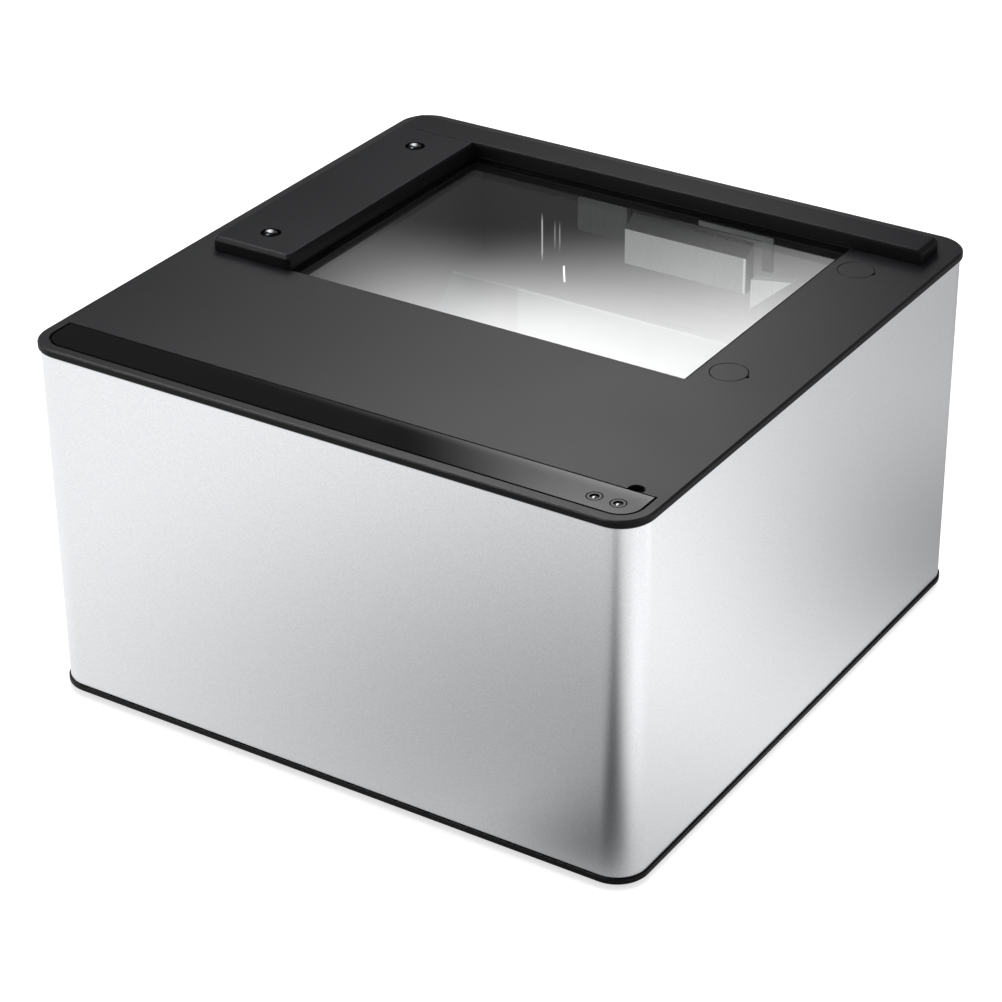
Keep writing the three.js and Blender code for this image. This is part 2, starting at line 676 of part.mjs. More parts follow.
const panelFlangeBack = bore.back;
const panelFlangeFront = panelFlangeBack - PANEL_FLANGE_THICKNESS;
const panelFace = sleeve.back - PANEL_RECESS;
const panelMiddle = (panelPlan.front + panelPlan.back) / 2;
const usbX = PANEL_WIDTH * USB_SHARE;
const jackX = PANEL_WIDTH * JACK_SHARE;
const switchX = PANEL_WIDTH * SWITCH_SHARE;
const ioBoardUnder = floorTop + IO_BOARD_HEIGHT;
const ioBoardTop = ioBoardUnder + BOARD_THICKNESS;
const ioBoardBack = panelFlangeFront - SLIDE_GAP;
const ioBoardX = (usbX + jackX) / 2;
const ioBoardPlan = centred(IO_BOARD_WIDTH, IO_BOARD_DEPTH, ioBoardX, ioBoardBack - IO_BOARD_DEPTH / 2);
const bracketFront = sleeve.front + CAMERA_SETBACK;
const mainBoardUnder = floorTop + MAIN_BOARD_POST;
const mainBoardPlan = plan(
  guideScrewX + MAIN_BOARD_SIDE_GAP,
  plugX - MAIN_BOARD_SIDE_GAP,
  bracketFront + BRACKET_FOOT + MAIN_BOARD_FRONT_GAP,
  ioBoardPlan.front - MAIN_BOARD_BACK_GAP,
);

const cornersOf = (r, inset) => {
  const inner = grown(r, -inset);
  return [
    [inner.left, inner.front],
    [inner.right, inner.front],
    [inner.left, inner.back],
    [inner.right, inner.back],
  ];
};
const mainBoardPegs = cornersOf(mainBoardPlan, BOARD_PEG_INSET);
const ioBoardPegs = cornersOf(ioBoardPlan, BOARD_PEG_INSET);

function basePanSolid() {
  const floor = roundedSlab(base, baseRadius, baseUnder, floorTop, BASE_CHAMFER, 0);
  const upstand = insertRing(floorMiddle, floorTop + UPSTAND_HEIGHT);
  const pegs = [
    ...mainBoardPegs.map(([x, y]) => pegSolid(x, y, mainBoardUnder)),
    ...ioBoardPegs.map(([x, y]) => pegSolid(x, y, ioBoardUnder)),
  ];
  const body = join([floor, upstand, ...pegs]);
  const footRecesses = FEET.map(({ x, y }) =>
    post(FOOT_RADIUS + SLIDE_GAP, baseUnder - OVERRUN, baseUnder + FOOT_RECESS, x, y, ROUND_STEPS));
  const screwHoles = COLUMNS.map(({ x, y }) =>
    post(SCREW_RADIUS + SCREW_CLEARANCE, baseUnder - OVERRUN, floorTop + OVERRUN, x, y));
  return cut(body, [...footRecesses, ...screwHoles, ...ventSlots()]);
}

// A post that carries a board, with a peg through the board's hole
function pegSolid(x, y, boardUnder) {
  const top = boardUnder + BOARD_THICKNESS + BOARD_PEG_RISE;
  const shoulder = coarsePost(BOARD_POST_RADIUS, floorMiddle, boardUnder, x, y);
  return shoulder.add(coarsePost(BOARD_PEG_RADIUS, floorMiddle, top, x, y));
}

// Cooling slots in the floor below the main board
function ventSlots() {
  const slots = [];
  for (let i = 0; i < VENT_SLOTS; i += 1) {
    const x = middleX(mainBoardPlan) + (i - (VENT_SLOTS - 1) / 2) * VENT_PITCH;
    const slot = centred(VENT_WIDTH, VENT_LENGTH, x, middleY(mainBoardPlan));
    const low = baseUnder - OVERRUN;
    slots.push(roundedSlab(slot, VENT_WIDTH / 2, low, floorTop + OVERRUN, 0, 0, SMALL_STEPS));
  }
  return slots;
}

function footSolid() {
  return turned([
    [0, -FOOT_DROP],
    [FOOT_RADIUS - FOOT_TAPER - FOOT_RECESS / 2, -FOOT_DROP],
    [FOOT_RADIUS - FOOT_TAPER, FOOT_RECESS / 2 - FOOT_DROP],
    [FOOT_RADIUS, 0],
    [FOOT_RADIUS, FOOT_RECESS],
    [0, FOOT_RECESS],
  ], ROUND_STEPS);
}

function spacerSolid() {
  const hexagon = [];
  const sixth = (2 * RIGHT_ANGLE) / 3;
  const cornerRadius = SPACER_FLATS / 2 / Math.cos(sixth / 2);
  for (let angle = 0; hexagon.length < 6; angle += sixth) {
    hexagon.push([cornerRadius * Math.cos(angle), cornerRadius * Math.sin(angle)]);
  }
  const body = loft([{ points: hexagon, z: 0 }, { points: hexagon, z: spacerLength }]);
  const bore = SCREW_RADIUS + SCREW_CLEARANCE / 2;
  const topBore = SCREW_LENGTH + SCREW_RADIUS;
  const bottomBore = BASE_SCREW_LENGTH + SCREW_RADIUS;
  return cut(body, [
    post(bore, spacerLength - topBore, spacerLength + OVERRUN),
    post(bore, -OVERRUN, bottomBore),
  ]);
}

function casing() {
  const group = new THREE.Group();
  group.add(piece('housing_sleeve', sleeveSolid(), ALUMINIUM));
  group.add(piece('top_cover', coverSolid(), BLACK_PLASTIC));
  group.add(piece('base_pan', basePanSolid(), MATT_BLACK));
  for (const { name, x, y } of FEET) {
    const foot = piece(name, footSolid(), RUBBER);
    foot.position.set(x, y, baseUnder);
    group.add(foot);
  }
  for (const { side, end, x, y } of COLUMNS) {
    const spacer = piece(`spacer_${end}_${side}`, spacerSolid(), STEEL);
    spacer.position.set(x, y, floorTop);
    group.add(spacer);
  }
  for (const { side, end, x, y } of COLUMNS) {
    const solid = panScrew(SCREW_RADIUS, BASE_SCREW_LENGTH, SCREW_HEAD_RADIUS, BASE_HEAD_HEIGHT);
    const screw = piece(`base_screw_${end}_${side}`, solid, STEEL);
    screw.rotation.x = 2 * RIGHT_ANGLE;
    screw.position.set(x, y, baseUnder);
    group.add(screw);
  }
  return group;
}

// Window: glass on its adhesive seal
function windowGroup() {
  const group = new THREE.Group();
  const pane = grown(windowPlan, -GLASS_GAP);
  const ring = (inset, z) => ({ points: roundedOutline(grown(pane, -inset), allRound(0), 1), z });
  const glass = loft([
    ring(0, glassUnder),
    ring(0, glassTop - GLASS_CHAMFER),
    ring(GLASS_CHAMFER, glassTop),
  ]);
  group.add(piece('window_glass', glass, GLASS));
  const seal = cut(block(pane, ledgeTop, glassUnder), [
    block(grown(pane, -SEAL_WIDTH), ledgeTop - OVERRUN, glassUnder + OVERRUN),
  ]);
  group.add(piece('glass_seal', seal, MATT_BLACK));
  return group;
}

// Guides, which stand on the cover and meet in an L at the window's back left corner
function guidePlateSolid() {
  const chamfers = {
    left: GUIDE_SIDE_CHAMFER,
    right: GUIDE_SIDE_CHAMFER,
    front: GUIDE_END_CHAMFER,
    back: 0,
  };
  const radii = [GUIDE_CORNER_RADIUS, 0, 0, GUIDE_CORNER_RADIUS];
  const counterbore = DOME_HEAD_RADIUS + HEAD_CLEARANCE;
  const seat = GUIDE_HEIGHT - COUNTERBORE_DEPTH;
  const holes = COLUMNS.filter(({ side }) => side === 'left').flatMap(({ x, y }) => [
    post(SCREW_RADIUS + SCREW_CLEARANCE, -OVERRUN, GUIDE_HEIGHT, x, y),
    post(counterbore, seat, GUIDE_HEIGHT + OVERRUN, x, y, ROUND_STEPS),
  ]);
  return cut(guideSolid(guidePlan, radii, chamfers, GUIDE_HEIGHT), holes);
}

function guideBarSolid() {
  const chamfers = {
    left: GUIDE_SIDE_CHAMFER,
    right: GUIDE_END_CHAMFER,
    front: BAR_EDGE_CHAMFER,
    back: BAR_EDGE_CHAMFER,
  };
  const radii = [0, 0, GUIDE_CORNER_RADIUS, 0];
  const pilotTop = SMALL_SCREW_LENGTH - COVER_PLATE + SCREW_CLEARANCE;
  const holes = barScrews.map(([x, y]) =>
    coarsePost(SMALL_SCREW_RADIUS + SCREW_CLEARANCE, -OVERRUN, pilotTop, x, y));
  return cut(guideSolid(barPlan, radii, chamfers, GUIDE_HEIGHT), holes);
}

function guides() {
  const group = new THREE.Group();
  group.position.z = coverTop;
  group.add(piece('guide_plate', guidePlateSolid(), BLACK_PLASTIC));
  group.add(piece('guide_bar', guideBarSolid(), BLACK_PLASTIC));
  for (const { end, x, y } of COLUMNS.filter(({ side }) => side === 'left')) {
    const solid = socketScrew(SCREW_RADIUS, SCREW_LENGTH, DOME_HEAD_RADIUS, DOME_HEAD_HEIGHT);
    const screw = piece(`guide_screw_${end}`, solid, STEEL);
    screw.position.set(x, y, GUIDE_HEIGHT - COUNTERBORE_DEPTH);
    group.add(screw);
  }
  for (const [i, [x, y]] of barScrews.entries()) {
    group.add(smallScrew(`guide_bar_screw_${SIDES[i]}`, x, y, -COVER_PLATE));
  }
  return group;
}

// Round plugs over the right-hand screws: a disc on a short ring that grips the pocket
function plugSolid() {
  const disc = post(PLUG_RADIUS, 0, PLUG_THICKNESS, 0, 0, ROUND_STEPS);
  const ring = cut(post(PLUG_SKIRT_RADIUS, -PLUG_SKIRT_DEPTH, 0, 0, 0, ROUND_STEPS), [
    post(PLUG_SKIRT_RADIUS - PLUG_SKIRT_WALL, -PLUG_SKIRT_DEPTH - OVERRUN, OVERRUN, 0, 0, ROUND_STEPS),
  ]);
  return disc.add(ring);
}

function plugs() {
  const group = new THREE.Group();
  for (const { end, x, y } of COLUMNS.filter(({ side }) => side === 'right')) {
    const plug = piece(`plug_${end}`, plugSolid(), BLACK_PLASTIC);
    plug.position.set(x, y, plugSeat);
    const solid = panScrew(SCREW_RADIUS, SCREW_LENGTH, SCREW_HEAD_RADIUS, PLUG_SCREW_HEAD_HEIGHT);
    const screw = piece(`plug_screw_${end}`, solid, STEEL);
    screw.position.set(x, y, pocketFloor);
    group.add(plug, screw);
  }
  return group;
}

// Indicator strip with its two lamp windows, the lenses and their board
function indicators() {
  const group = new THREE.Group();
  const radii = stripRadii.map((radius) => Math.max(0, radius - STRIP_GAP));
  const sheetPlan = plan(
    stripPlan.left + STRIP_GAP,
    stripPlan.right - STRIP_GAP,
    stripPlan.front + STRIP_GAP,
    stripPlan.back - STRIP_BACK_GAP,
  );
  const outline = roundedOutline(sheetPlan, radii, CASING_STEPS / 2);
  const sheet = loft([
    { points: outline, z: stripUnder },
    { points: outline, z: stripUnder + STRIP_THICKNESS },
  ]);
  const holes = LAMPS.map(({ x }) =>
    post(LAMP_RECESS_RADIUS, stripUnder - OVERRUN, coverTop + OVERRUN, x, lampY, ROUND_STEPS));
  group.add(piece('indicator_strip', cut(sheet, holes), GLOSS_BLACK));
  for (const { name, x } of LAMPS) {
    const lens = piece(name, lensSolid(coverTop - LAMP_SINK - indicatorBoardTop), SMOKED_LENS);
    lens.position.set(x, lampY, indicatorBoardTop);
    group.add(lens);
  }
  const board = block(indicatorBoardPlan, indicatorBoardTop - BOARD_THICKNESS, indicatorBoardTop);
  group.add(piece('indicator_board', board, BOARD_GREEN));
  return group;
}

// A lamp lens: a rod with a flange below and a domed top
function lensSolid(height) {
  const profile = [
    [0, 0],
    [LAMP_FLANGE_RADIUS, 0],
    [LAMP_FLANGE_RADIUS, LAMP_FLANGE_HEIGHT],
    [LAMP_RADIUS, LAMP_FLANGE_HEIGHT],
  ];
  for (let i = 0; i <= 2 * SMALL_STEPS; i += 1) {
    const angle = (i / (2 * SMALL_STEPS)) * RIGHT_ANGLE;
    const radius = i === 2 * SMALL_STEPS ? 0 : LAMP_RADIUS * Math.cos(angle);
    profile.push([radius, height - LAMP_RADIUS + LAMP_RADIUS * Math.sin(angle)]);
  }
  return turned(profile);
}

// Optical chamber: a black box below the window, whose back slopes to carry the mirror
const chamberFloor = floorTop + CHAMBER_FLOOR_HEIGHT;
const shelfHeight = ledgeUnder - CHAMBER_SHELF_DROP;
const slopeTopY = chamberPlan.back - CHAMBER_SHELF_DEPTH;
const slopeRise = shelfHeight - chamberFloor;
const slopeFootY = chamberPlan.front + CHAMBER_FLOOR_DEPTH;
const slopeRun = slopeTopY - slopeFootY;
const slopeAngle = Math.atan2(slopeRise, slopeRun);
const slopeOffset = CHAMBER_WALL * Math.tan(slopeAngle / 2);

function chamberSolid() {
  const inner = [
    [chamberPlan.front, ledgeUnder + OVERRUN],
    [chamberPlan.front, chamberFloor],
    [slopeFootY, chamberFloor],
    [slopeTopY, shelfHeight],
    [chamberPlan.back, shelfHeight],
    [chamberPlan.back, ledgeUnder + OVERRUN],
  ];
  const outerFront = chamberPlan.front - CHAMBER_WALL;
  const outerBack = chamberPlan.back + CHAMBER_WALL;
  const flangeUnder = ledgeUnder - CHAMBER_FLANGE_THICKNESS;
  const outer = [
    [outerFront - CHAMBER_FLANGE, ledgeUnder],
    [outerFront - CHAMBER_FLANGE, flangeUnder],
    [outerFront, flangeUnder],
    [outerFront, chamberFloor - CHAMBER_WALL],
    [slopeFootY + slopeOffset, chamberFloor - CHAMBER_WALL],
    [slopeTopY + slopeOffset, shelfHeight - CHAMBER_WALL],
    [outerBack, shelfHeight - CHAMBER_WALL],
    [outerBack, flangeUnder],
    [outerBack + CHAMBER_FLANGE, flangeUnder],
    [outerBack + CHAMBER_FLANGE, ledgeUnder],
  ];
  const left = chamberPlan.left - CHAMBER_WALL;
  const right = chamberPlan.right + CHAMBER_WALL;
  const shell = prismAlongX(outer, left, right);
  const hollow = prismAlongX(inner, chamberPlan.left, chamberPlan.right);
  const aperture = uprightPlate(
    centred(APERTURE_WIDTH, APERTURE_HEIGHT, middleX(windowPlan), floorTop + CAMERA_HEIGHT),
    CHAMBER_WALL,
    outerFront - OVERRUN,
    chamberPlan.front + OVERRUN,
  );
  const holes = chamberScrews.map(([x, y]) =>
    coarsePost(SMALL_SCREW_RADIUS + SCREW_CLEARANCE, flangeUnder - OVERRUN, ledgeUnder + OVERRUN, x, y));
  return cut(shell, [hollow, aperture, ...holes]);
}

function mirrorSolid() {
  const length = Math.hypot(slopeRise, slopeRun) - 2 * MIRROR_END_GAP;
  const width = chamberPlan.right - chamberPlan.left - 2 * MIRROR_SIDE_GAP;
  return block(centred(width, length), 0, MIRROR_THICKNESS);
}

// The light diffusers stand against the chamber's back wall, below the window's back edge. The main
// one is a trough with a slanting top, and the others lie around it.
const mainRight = windowPlan.right - MAIN_DIFFUSER_MARGIN;
const mainLeft = mainRight - MAIN_DIFFUSER_WIDTH;
const mainTop = coverTop - MAIN_DIFFUSER_DROP;
const mainBottom = mainTop - MAIN_DIFFUSER_HEIGHT;
const mainFace = chamberPlan.back - MAIN_DIFFUSER_DEPTH;
const mainRoom = grown(plan(mainLeft, mainRight, mainBottom, mainTop), -DIFFUSER_WALL);

function mainDiffuserSolid() {
  const trough = prismAlongX([
    [mainFace, mainBottom],
    [chamberPlan.back, mainBottom],
    [chamberPlan.back, mainTop + MAIN_DIFFUSER_SLANT],
    [mainFace, mainTop],
  ], mainLeft, mainRight);
  const room = uprightPlate(
    mainRoom,
    DIFFUSER_WALL / 2,
    mainFace + DIFFUSER_WALL,
    chamberPlan.back + OVERRUN,
  );
  return cut(trough, [room]);
}

function sideDiffuserSolid() {
  const right = mainLeft - DIFFUSER_SPACING;
  const top = mainTop + SIDE_DIFFUSER_RISE;
  const outline = plan(right - SIDE_DIFFUSER_WIDTH, right, top - SIDE_DIFFUSER_HEIGHT, top);
  const front = chamberPlan.back - SIDE_DIFFUSER_DEPTH;
  const shell = uprightPlate(outline, DIFFUSER_WALL, front, chamberPlan.back);
  const room = uprightPlate(
    grown(outline, -DIFFUSER_WALL),
    DIFFUSER_WALL / 2,
    front + DIFFUSER_WALL,
    chamberPlan.back + OVERRUN,
  );
  return cut(shell, [room]);
}

// A three-cornered reflector to the right of the main diffuser
function cornerDiffuserSolid() {
  const left = mainRight + DIFFUSER_SPACING;
  const top = mainTop - CORNER_DIFFUSER_SINK;
  const outline = [
    [left, top - CORNER_DIFFUSER_HEIGHT],
    [left + CORNER_DIFFUSER_WIDTH, top],
    [left, top - CORNER_DIFFUSER_SHOULDER],
  ];
  const flat = loft([{ points: outline, z: 0 }, { points: outline, z: CORNER_DIFFUSER_DEPTH }]);
  return flat.rotate([90, 0, 0]).translate([0, chamberPlan.back, 0]);
}

// An opal clip on the ledge's inner face, below the glass, with an arm down its right side
function clipSolid() {
  const back = windowPlan.back - LEDGE_WIDTH;
  const front = back - CLIP_THICKNESS;
  const right = mainRight + CLIP_REACH;
  const tab = block(plan(right - CLIP_WIDTH, right, front, back), ledgeTop - CLIP_HEIGHT, ledgeTop);
  const armBottom = ledgeTop - CLIP_HEIGHT - CLIP_ARM_LENGTH;
  return tab.add(block(plan(right - CLIP_ARM_WIDTH, right, front, back), armBottom, ledgeTop));
}

function optics() {
  const group = new THREE.Group();
  group.add(piece('optical_chamber', chamberSolid(), MATT_BLACK));
  const mirrorGroup = new THREE.Group();
  const mirror = piece('mirror', mirrorSolid(), MIRROR_SILVER);
  mirror.position.z = MIRROR_SEAT_GAP;
  mirrorGroup.add(mirror);
  mirrorGroup.rotation.x = slopeAngle;
  const slopeMiddleY = (slopeFootY + slopeTopY) / 2;
  const slopeMiddleZ = (chamberFloor + shelfHeight) / 2;
  mirrorGroup.position.set(middleX(chamberPlan), slopeMiddleY, slopeMiddleZ);
  group.add(mirrorGroup);
  group.add(piece('rear_diffuser_main', mainDiffuserSolid(), DIFFUSER_WHITE));
  group.add(piece('rear_diffuser_side', sideDiffuserSolid(), DIFFUSER_WHITE));
  group.add(piece('rear_diffuser_corner', cornerDiffuserSolid(), DIFFUSER_WHITE));
  group.add(piece('rear_diffuser_clip', clipSolid(), DIFFUSER_WHITE));
  group.add(lampBoard());
  for (const [i, [x, y]] of chamberScrews.entries()) {
    const name = `chamber_screw_${ENDS[Math.floor(i / 2)]}_${SIDES[i % 2]}`;
    group.add(smallScrew(name, x, y, ledgeUnder - CHAMBER_FLANGE_THICKNESS));
  }
  return group;
}

// The light board lies in the main diffuser, against the chamber's back wall, with a row of chips
function lampBoard() {
  const outline = grown(mainRoom, -SLIDE_GAP);
  const sheetFront = chamberPlan.back - LAMP_BOARD_THICKNESS;
  const chipBack = sheetFront + LAMP_BOARD_THICKNESS / 2;
  const pitch = (outline.right - outline.left) / LAMP_CHIP_COUNT;
  const chips = [];
  for (let i = 0; i < LAMP_CHIP_COUNT; i += 1) {
    const chip = centred(LAMP_CHIP, LAMP_CHIP, outline.left + (i + 0.5) * pitch, middleY(outline));
    chips.push(uprightPlate(chip, 0, sheetFront - LAMP_CHIP_HEIGHT, chipBack));
  }
  const sheet = uprightPlate(outline, DIFFUSER_WALL / 4, sheetFront, chamberPlan.back);
  return piece('lamp_board', join([sheet, ...chips]), BOARD_GREEN);
}

// Camera: a bracket on the base holds the board, and the lens looks back at the mirror
const cameraX = middleX(windowPlan);
const cameraZ = floorTop + CAMERA_HEIGHT;
const cameraBoardFront = bracketFront + BRACKET_THICKNESS + CAMERA_POST;
const cameraBoardBack = cameraBoardFront + BOARD_THICKNESS;
const cameraBoardOutline = centred(CAMERA_BOARD, CAMERA_BOARD, 0, CAMERA_HEIGHT);
const cameraPlugUnder = cameraZ - LENS_MOUNT / 2 - CAMERA_POST - CONNECTOR_DEPTH;

function bracketSolid() {
  const top = CAMERA_HEIGHT + CAMERA_BOARD / 2;
  const foot = bracketFront + BRACKET_FOOT;
  const profile = [
    [bracketFront, 0],
    [foot, 0],
    [foot, BRACKET_THICKNESS],
    [bracketFront + BRACKET_THICKNESS, BRACKET_THICKNESS],
    [bracketFront + BRACKET_THICKNESS, top],
    [bracketFront, top],
  ];
  const plate = prismAlongX(profile, -BRACKET_WIDTH / 2, BRACKET_WIDTH / 2);
  const posts = cornersOf(cameraBoardOutline, CAMERA_POST_INSET).map(([x, z]) =>
    rodAlongY(CAMERA_POST_RADIUS, bracketFront, cameraBoardFront, x, z));
  return join([plate, ...posts]);
}

function cameraBoardSolid() {
  const board = uprightPlate(cameraBoardOutline, DIFFUSER_WALL, cameraBoardFront, cameraBoardBack);
  const plugZ = cameraPlugUnder - floorTop + CONNECTOR_DEPTH / 2;
  const plugFront = cameraBoardFront + BOARD_THICKNESS / 2;
  const plugOutline = centred(CONNECTOR_WIDTH, CONNECTOR_DEPTH, 0, plugZ);
  return board.add(uprightPlate(plugOutline, SLIDE_GAP, plugFront, cameraBoardBack + CONNECTOR_HEIGHT));
}

// The lens barrel screws into its mount, with a gap round and behind the thread
function lensMountSolid() {
  const back = cameraBoardBack + LENS_MOUNT_DEPTH;
  const outline = centred(LENS_MOUNT, LENS_MOUNT, 0, CAMERA_HEIGHT);
  const mount = uprightPlate(outline, LENS_RIM, cameraBoardBack, back);
  return cut(mount, [
    lensRod(LENS_THREAD_RADIUS + SLIDE_GAP / 2, cameraBoardBack + LENS_RIM, back + OVERRUN),
  ]);
}

function lensBarrelSolid() {
  const seat = cameraBoardBack + LENS_MOUNT_DEPTH;
  const tip = seat + LENS_LENGTH;
  const thread = lensRod(LENS_THREAD_RADIUS, cameraBoardBack + LENS_RIM + SLIDE_GAP, seat + OVERRUN);
  const barrel = lensRod(LENS_RADIUS, seat, tip);
  const eye = lensRod(LENS_RADIUS - LENS_RIM, tip - LENS_BORE_DEPTH, tip + OVERRUN);
  return cut(thread.add(barrel), [eye]);
}

const lensRod = (radius, front, back) => rodAlongY(radius, front, back, 0, CAMERA_HEIGHT, ROUND_STEPS);

function camera() {
  const group = new THREE.Group();
  group.position.set(cameraX, 0, floorTop);
  group.add(piece('camera_bracket', bracketSolid(), STEEL));
  group.add(piece('camera_board', cameraBoardSolid(), BOARD_GREEN));
  group.add(piece('lens_mount', lensMountSolid(), MATT_BLACK));
  group.add(piece('lens_barrel', lensBarrelSolid(), MATT_BLACK));
  return group;
}

// Circuit boards on the base's posts, with what is soldered to them
const mainBoardTop = mainBoardUnder + BOARD_THICKNESS;
const processorPlan = centred(PROCESSOR, PROCESSOR, middleX(mainBoardPlan), middleY(mainBoardPlan));
const mainPlugFront = mainBoardPlan.front + BOARD_PEG_INSET;
const mainPlugBack = mainBoardPlan.back - BOARD_PEG_INSET;
const ioPlugFront = ioBoardPlan.front + BOARD_PEG_INSET;

const connectorSolid = (front, back, bottom, top) =>
  block(plan(cameraX - CONNECTOR_WIDTH / 2, cameraX + CONNECTOR_WIDTH / 2, front, back), bottom, top);

function drilled(board, pegs, bottom, top) {
  const radius = BOARD_PEG_RADIUS + SCREW_CLEARANCE;
  const holes = pegs.map(([x, y]) => coarsePost(radius, bottom - OVERRUN, top + OVERRUN, x, y));
  return cut(block(board, bottom, top), holes);
}

function mainBoardSolid() {
  const sunk = mainBoardTop - BOARD_THICKNESS / 2;
  const memoryX = processorPlan.right + PROCESSOR / 2 + MEMORY_WIDTH;
  const memory = [-1, 1].map((side) => block(
    centred(MEMORY_WIDTH, MEMORY_DEPTH, memoryX, middleY(mainBoardPlan) + side * MEMORY_DEPTH),
    sunk,
    mainBoardTop + MEMORY_HEIGHT,
  ));
  const plugTop = mainBoardTop + CONNECTOR_HEIGHT;
  return join([
    drilled(mainBoardPlan, mainBoardPegs, mainBoardUnder, mainBoardTop),
    ...memory,
    connectorSolid(mainPlugFront, mainPlugFront + CONNECTOR_DEPTH, sunk, plugTop),
    connectorSolid(mainPlugBack - CONNECTOR_DEPTH, mainPlugBack, sunk, plugTop),
  ]);
}

function ioBoardSolid() {
  const board = drilled(ioBoardPlan, ioBoardPegs, ioBoardUnder, ioBoardTop);
  const sunk = ioBoardUnder + BOARD_THICKNESS / 2;
  const plugTop = ioBoardTop + CONNECTOR_HEIGHT;
  return board.add(connectorSolid(ioPlugFront, ioPlugFront + CONNECTOR_DEPTH, sunk, plugTop));
}

function boards() {
  const group = new THREE.Group();
  group.add(piece('main_board', mainBoardSolid(), BOARD_GREEN));
  group.add(piece('io_board', ioBoardSolid(), BOARD_GREEN));
  const processorTop = mainBoardTop + PROCESSOR_HEIGHT;
  group.add(piece('processor', block(processorPlan, mainBoardTop, processorTop), CHIP_BLACK));
  group.add(piece('heat_sink', heatSinkSolid(processorPlan, processorTop), ALUMINIUM));
  return group;
}

function heatSinkSolid(r, bottom) {
  const pitch = (r.right - r.left - HEAT_SINK_FIN) / (HEAT_SINK_FINS - 1);
  const fins = [];
  for (let i = 0; i < HEAT_SINK_FINS; i += 1) {
    const left = r.left + i * pitch;
    fins.push(block(plan(left, left + HEAT_SINK_FIN, r.front, r.back), bottom, bottom + HEAT_SINK_HEIGHT));
  }
  return join([block(r, bottom, bottom + HEAT_SINK_BASE), ...fins]);
}

// A ribbon cable follows a route of [y, z] points, with a round bend at each inner point
function ribbonSolid(route, x) {
  const curves = [];
  let from = new THREE.Vector2(...route[0]);
  for (let i = 1; i < route.length - 1; i += 1) {
    const corner = new THREE.Vector2(...route[i]);
    const next = new THREE.Vector2(...route[i + 1]);
    const enter = corner.clone().add(from.clone().sub(corner).setLength(RIBBON_BEND));
    const leave = corner.clone().add(next.clone().sub(corner).setLength(RIBBON_BEND));
    curves.push(new THREE.LineCurve(from, enter), new THREE.QuadraticBezierCurve(enter, corner, leave));
    from = leave;
  }
  curves.push(new THREE.LineCurve(from, new THREE.Vector2(...route[route.length - 1])));
  const line = [];
  for (const curve of curves) {
    const steps = curve.isLineCurve ? 1 : 2 * SMALL_STEPS;
    const first = line.length ? 1 : 0;
    for (let i = first; i <= steps; i += 1) {
      line.push([curve.getPoint(i / steps), curve.getTangent(i / steps)]);
    }
  }
  const side = (offset) =>
    line.map(([point, along]) => [point.x - along.y * offset, point.y + along.x * offset]);
  const outline = [...side(-RIBBON_THICKNESS / 2), ...side(RIBBON_THICKNESS / 2).reverse()];
  return prismAlongX(outline, x - RIBBON_WIDTH / 2, x + RIBBON_WIDTH / 2);
}

function cables() {
  const group = new THREE.Group();
  const cameraRibbonY = cameraBoardBack + CONNECTOR_HEIGHT / 2;
  const mainRibbonZ = mainBoardTop + CONNECTOR_HEIGHT / 2;
  const ioRibbonZ = ioBoardTop + CONNECTOR_HEIGHT / 2;
  const riseY = (mainPlugBack + ioPlugFront) / 2;
  const cameraRoute = [
    [cameraRibbonY, cameraPlugUnder],
    [cameraRibbonY, mainRibbonZ],
    [mainPlugFront, mainRibbonZ],
  ];
  const ioRoute = [
    [mainPlugBack, mainRibbonZ],
    [riseY, mainRibbonZ],
    [riseY, ioRibbonZ],
    [ioPlugFront, ioRibbonZ],
  ];
  group.add(piece('camera_ribbon', ribbonSolid(cameraRoute, cameraX), RIBBON_WHITE));
  group.add(piece('io_ribbon', ribbonSolid(ioRoute, cameraX), RIBBON_WHITE));
  return group;
}

// Back panel: a plate behind the sleeve's opening, flush sockets and a rocker switch
const usbBottom = ioBoardTop;
const usbMiddle = usbBottom + USB_HEIGHT / 2;
const jackMiddle = ioBoardTop + JACK_HEIGHT / 2;

function panelSolid() {
  const flange = { ...grown(panelPlan, PANEL_FLANGE), front: floorTop + UPSTAND_HEIGHT };
  const outline = grown(panelPlan, -SLIDE_GAP);
  const pad = uprightPlate(outline, PANEL_RADIUS - SLIDE_GAP, panelFlangeFront, panelFace);
  const plate = uprightPlate(flange, PANEL_RADIUS, panelFlangeFront, panelFlangeBack);
  const hole = (width, height, x, z) => uprightPlate(
    grown(centred(width, height, x, z), SOCKET_CLEARANCE),
    SOCKET_CLEARANCE,
    panelFlangeFront - OVERRUN,
    panelFace + OVERRUN,
  );
  return cut(pad.add(plate), [
    hole(USB_WIDTH, USB_HEIGHT, usbX, usbMiddle),
    hole(JACK_WIDTH, JACK_HEIGHT, jackX, jackMiddle),
    hole(SWITCH_BODY_WIDTH, SWITCH_BODY_HEIGHT, switchX, panelMiddle),
  ]);
}

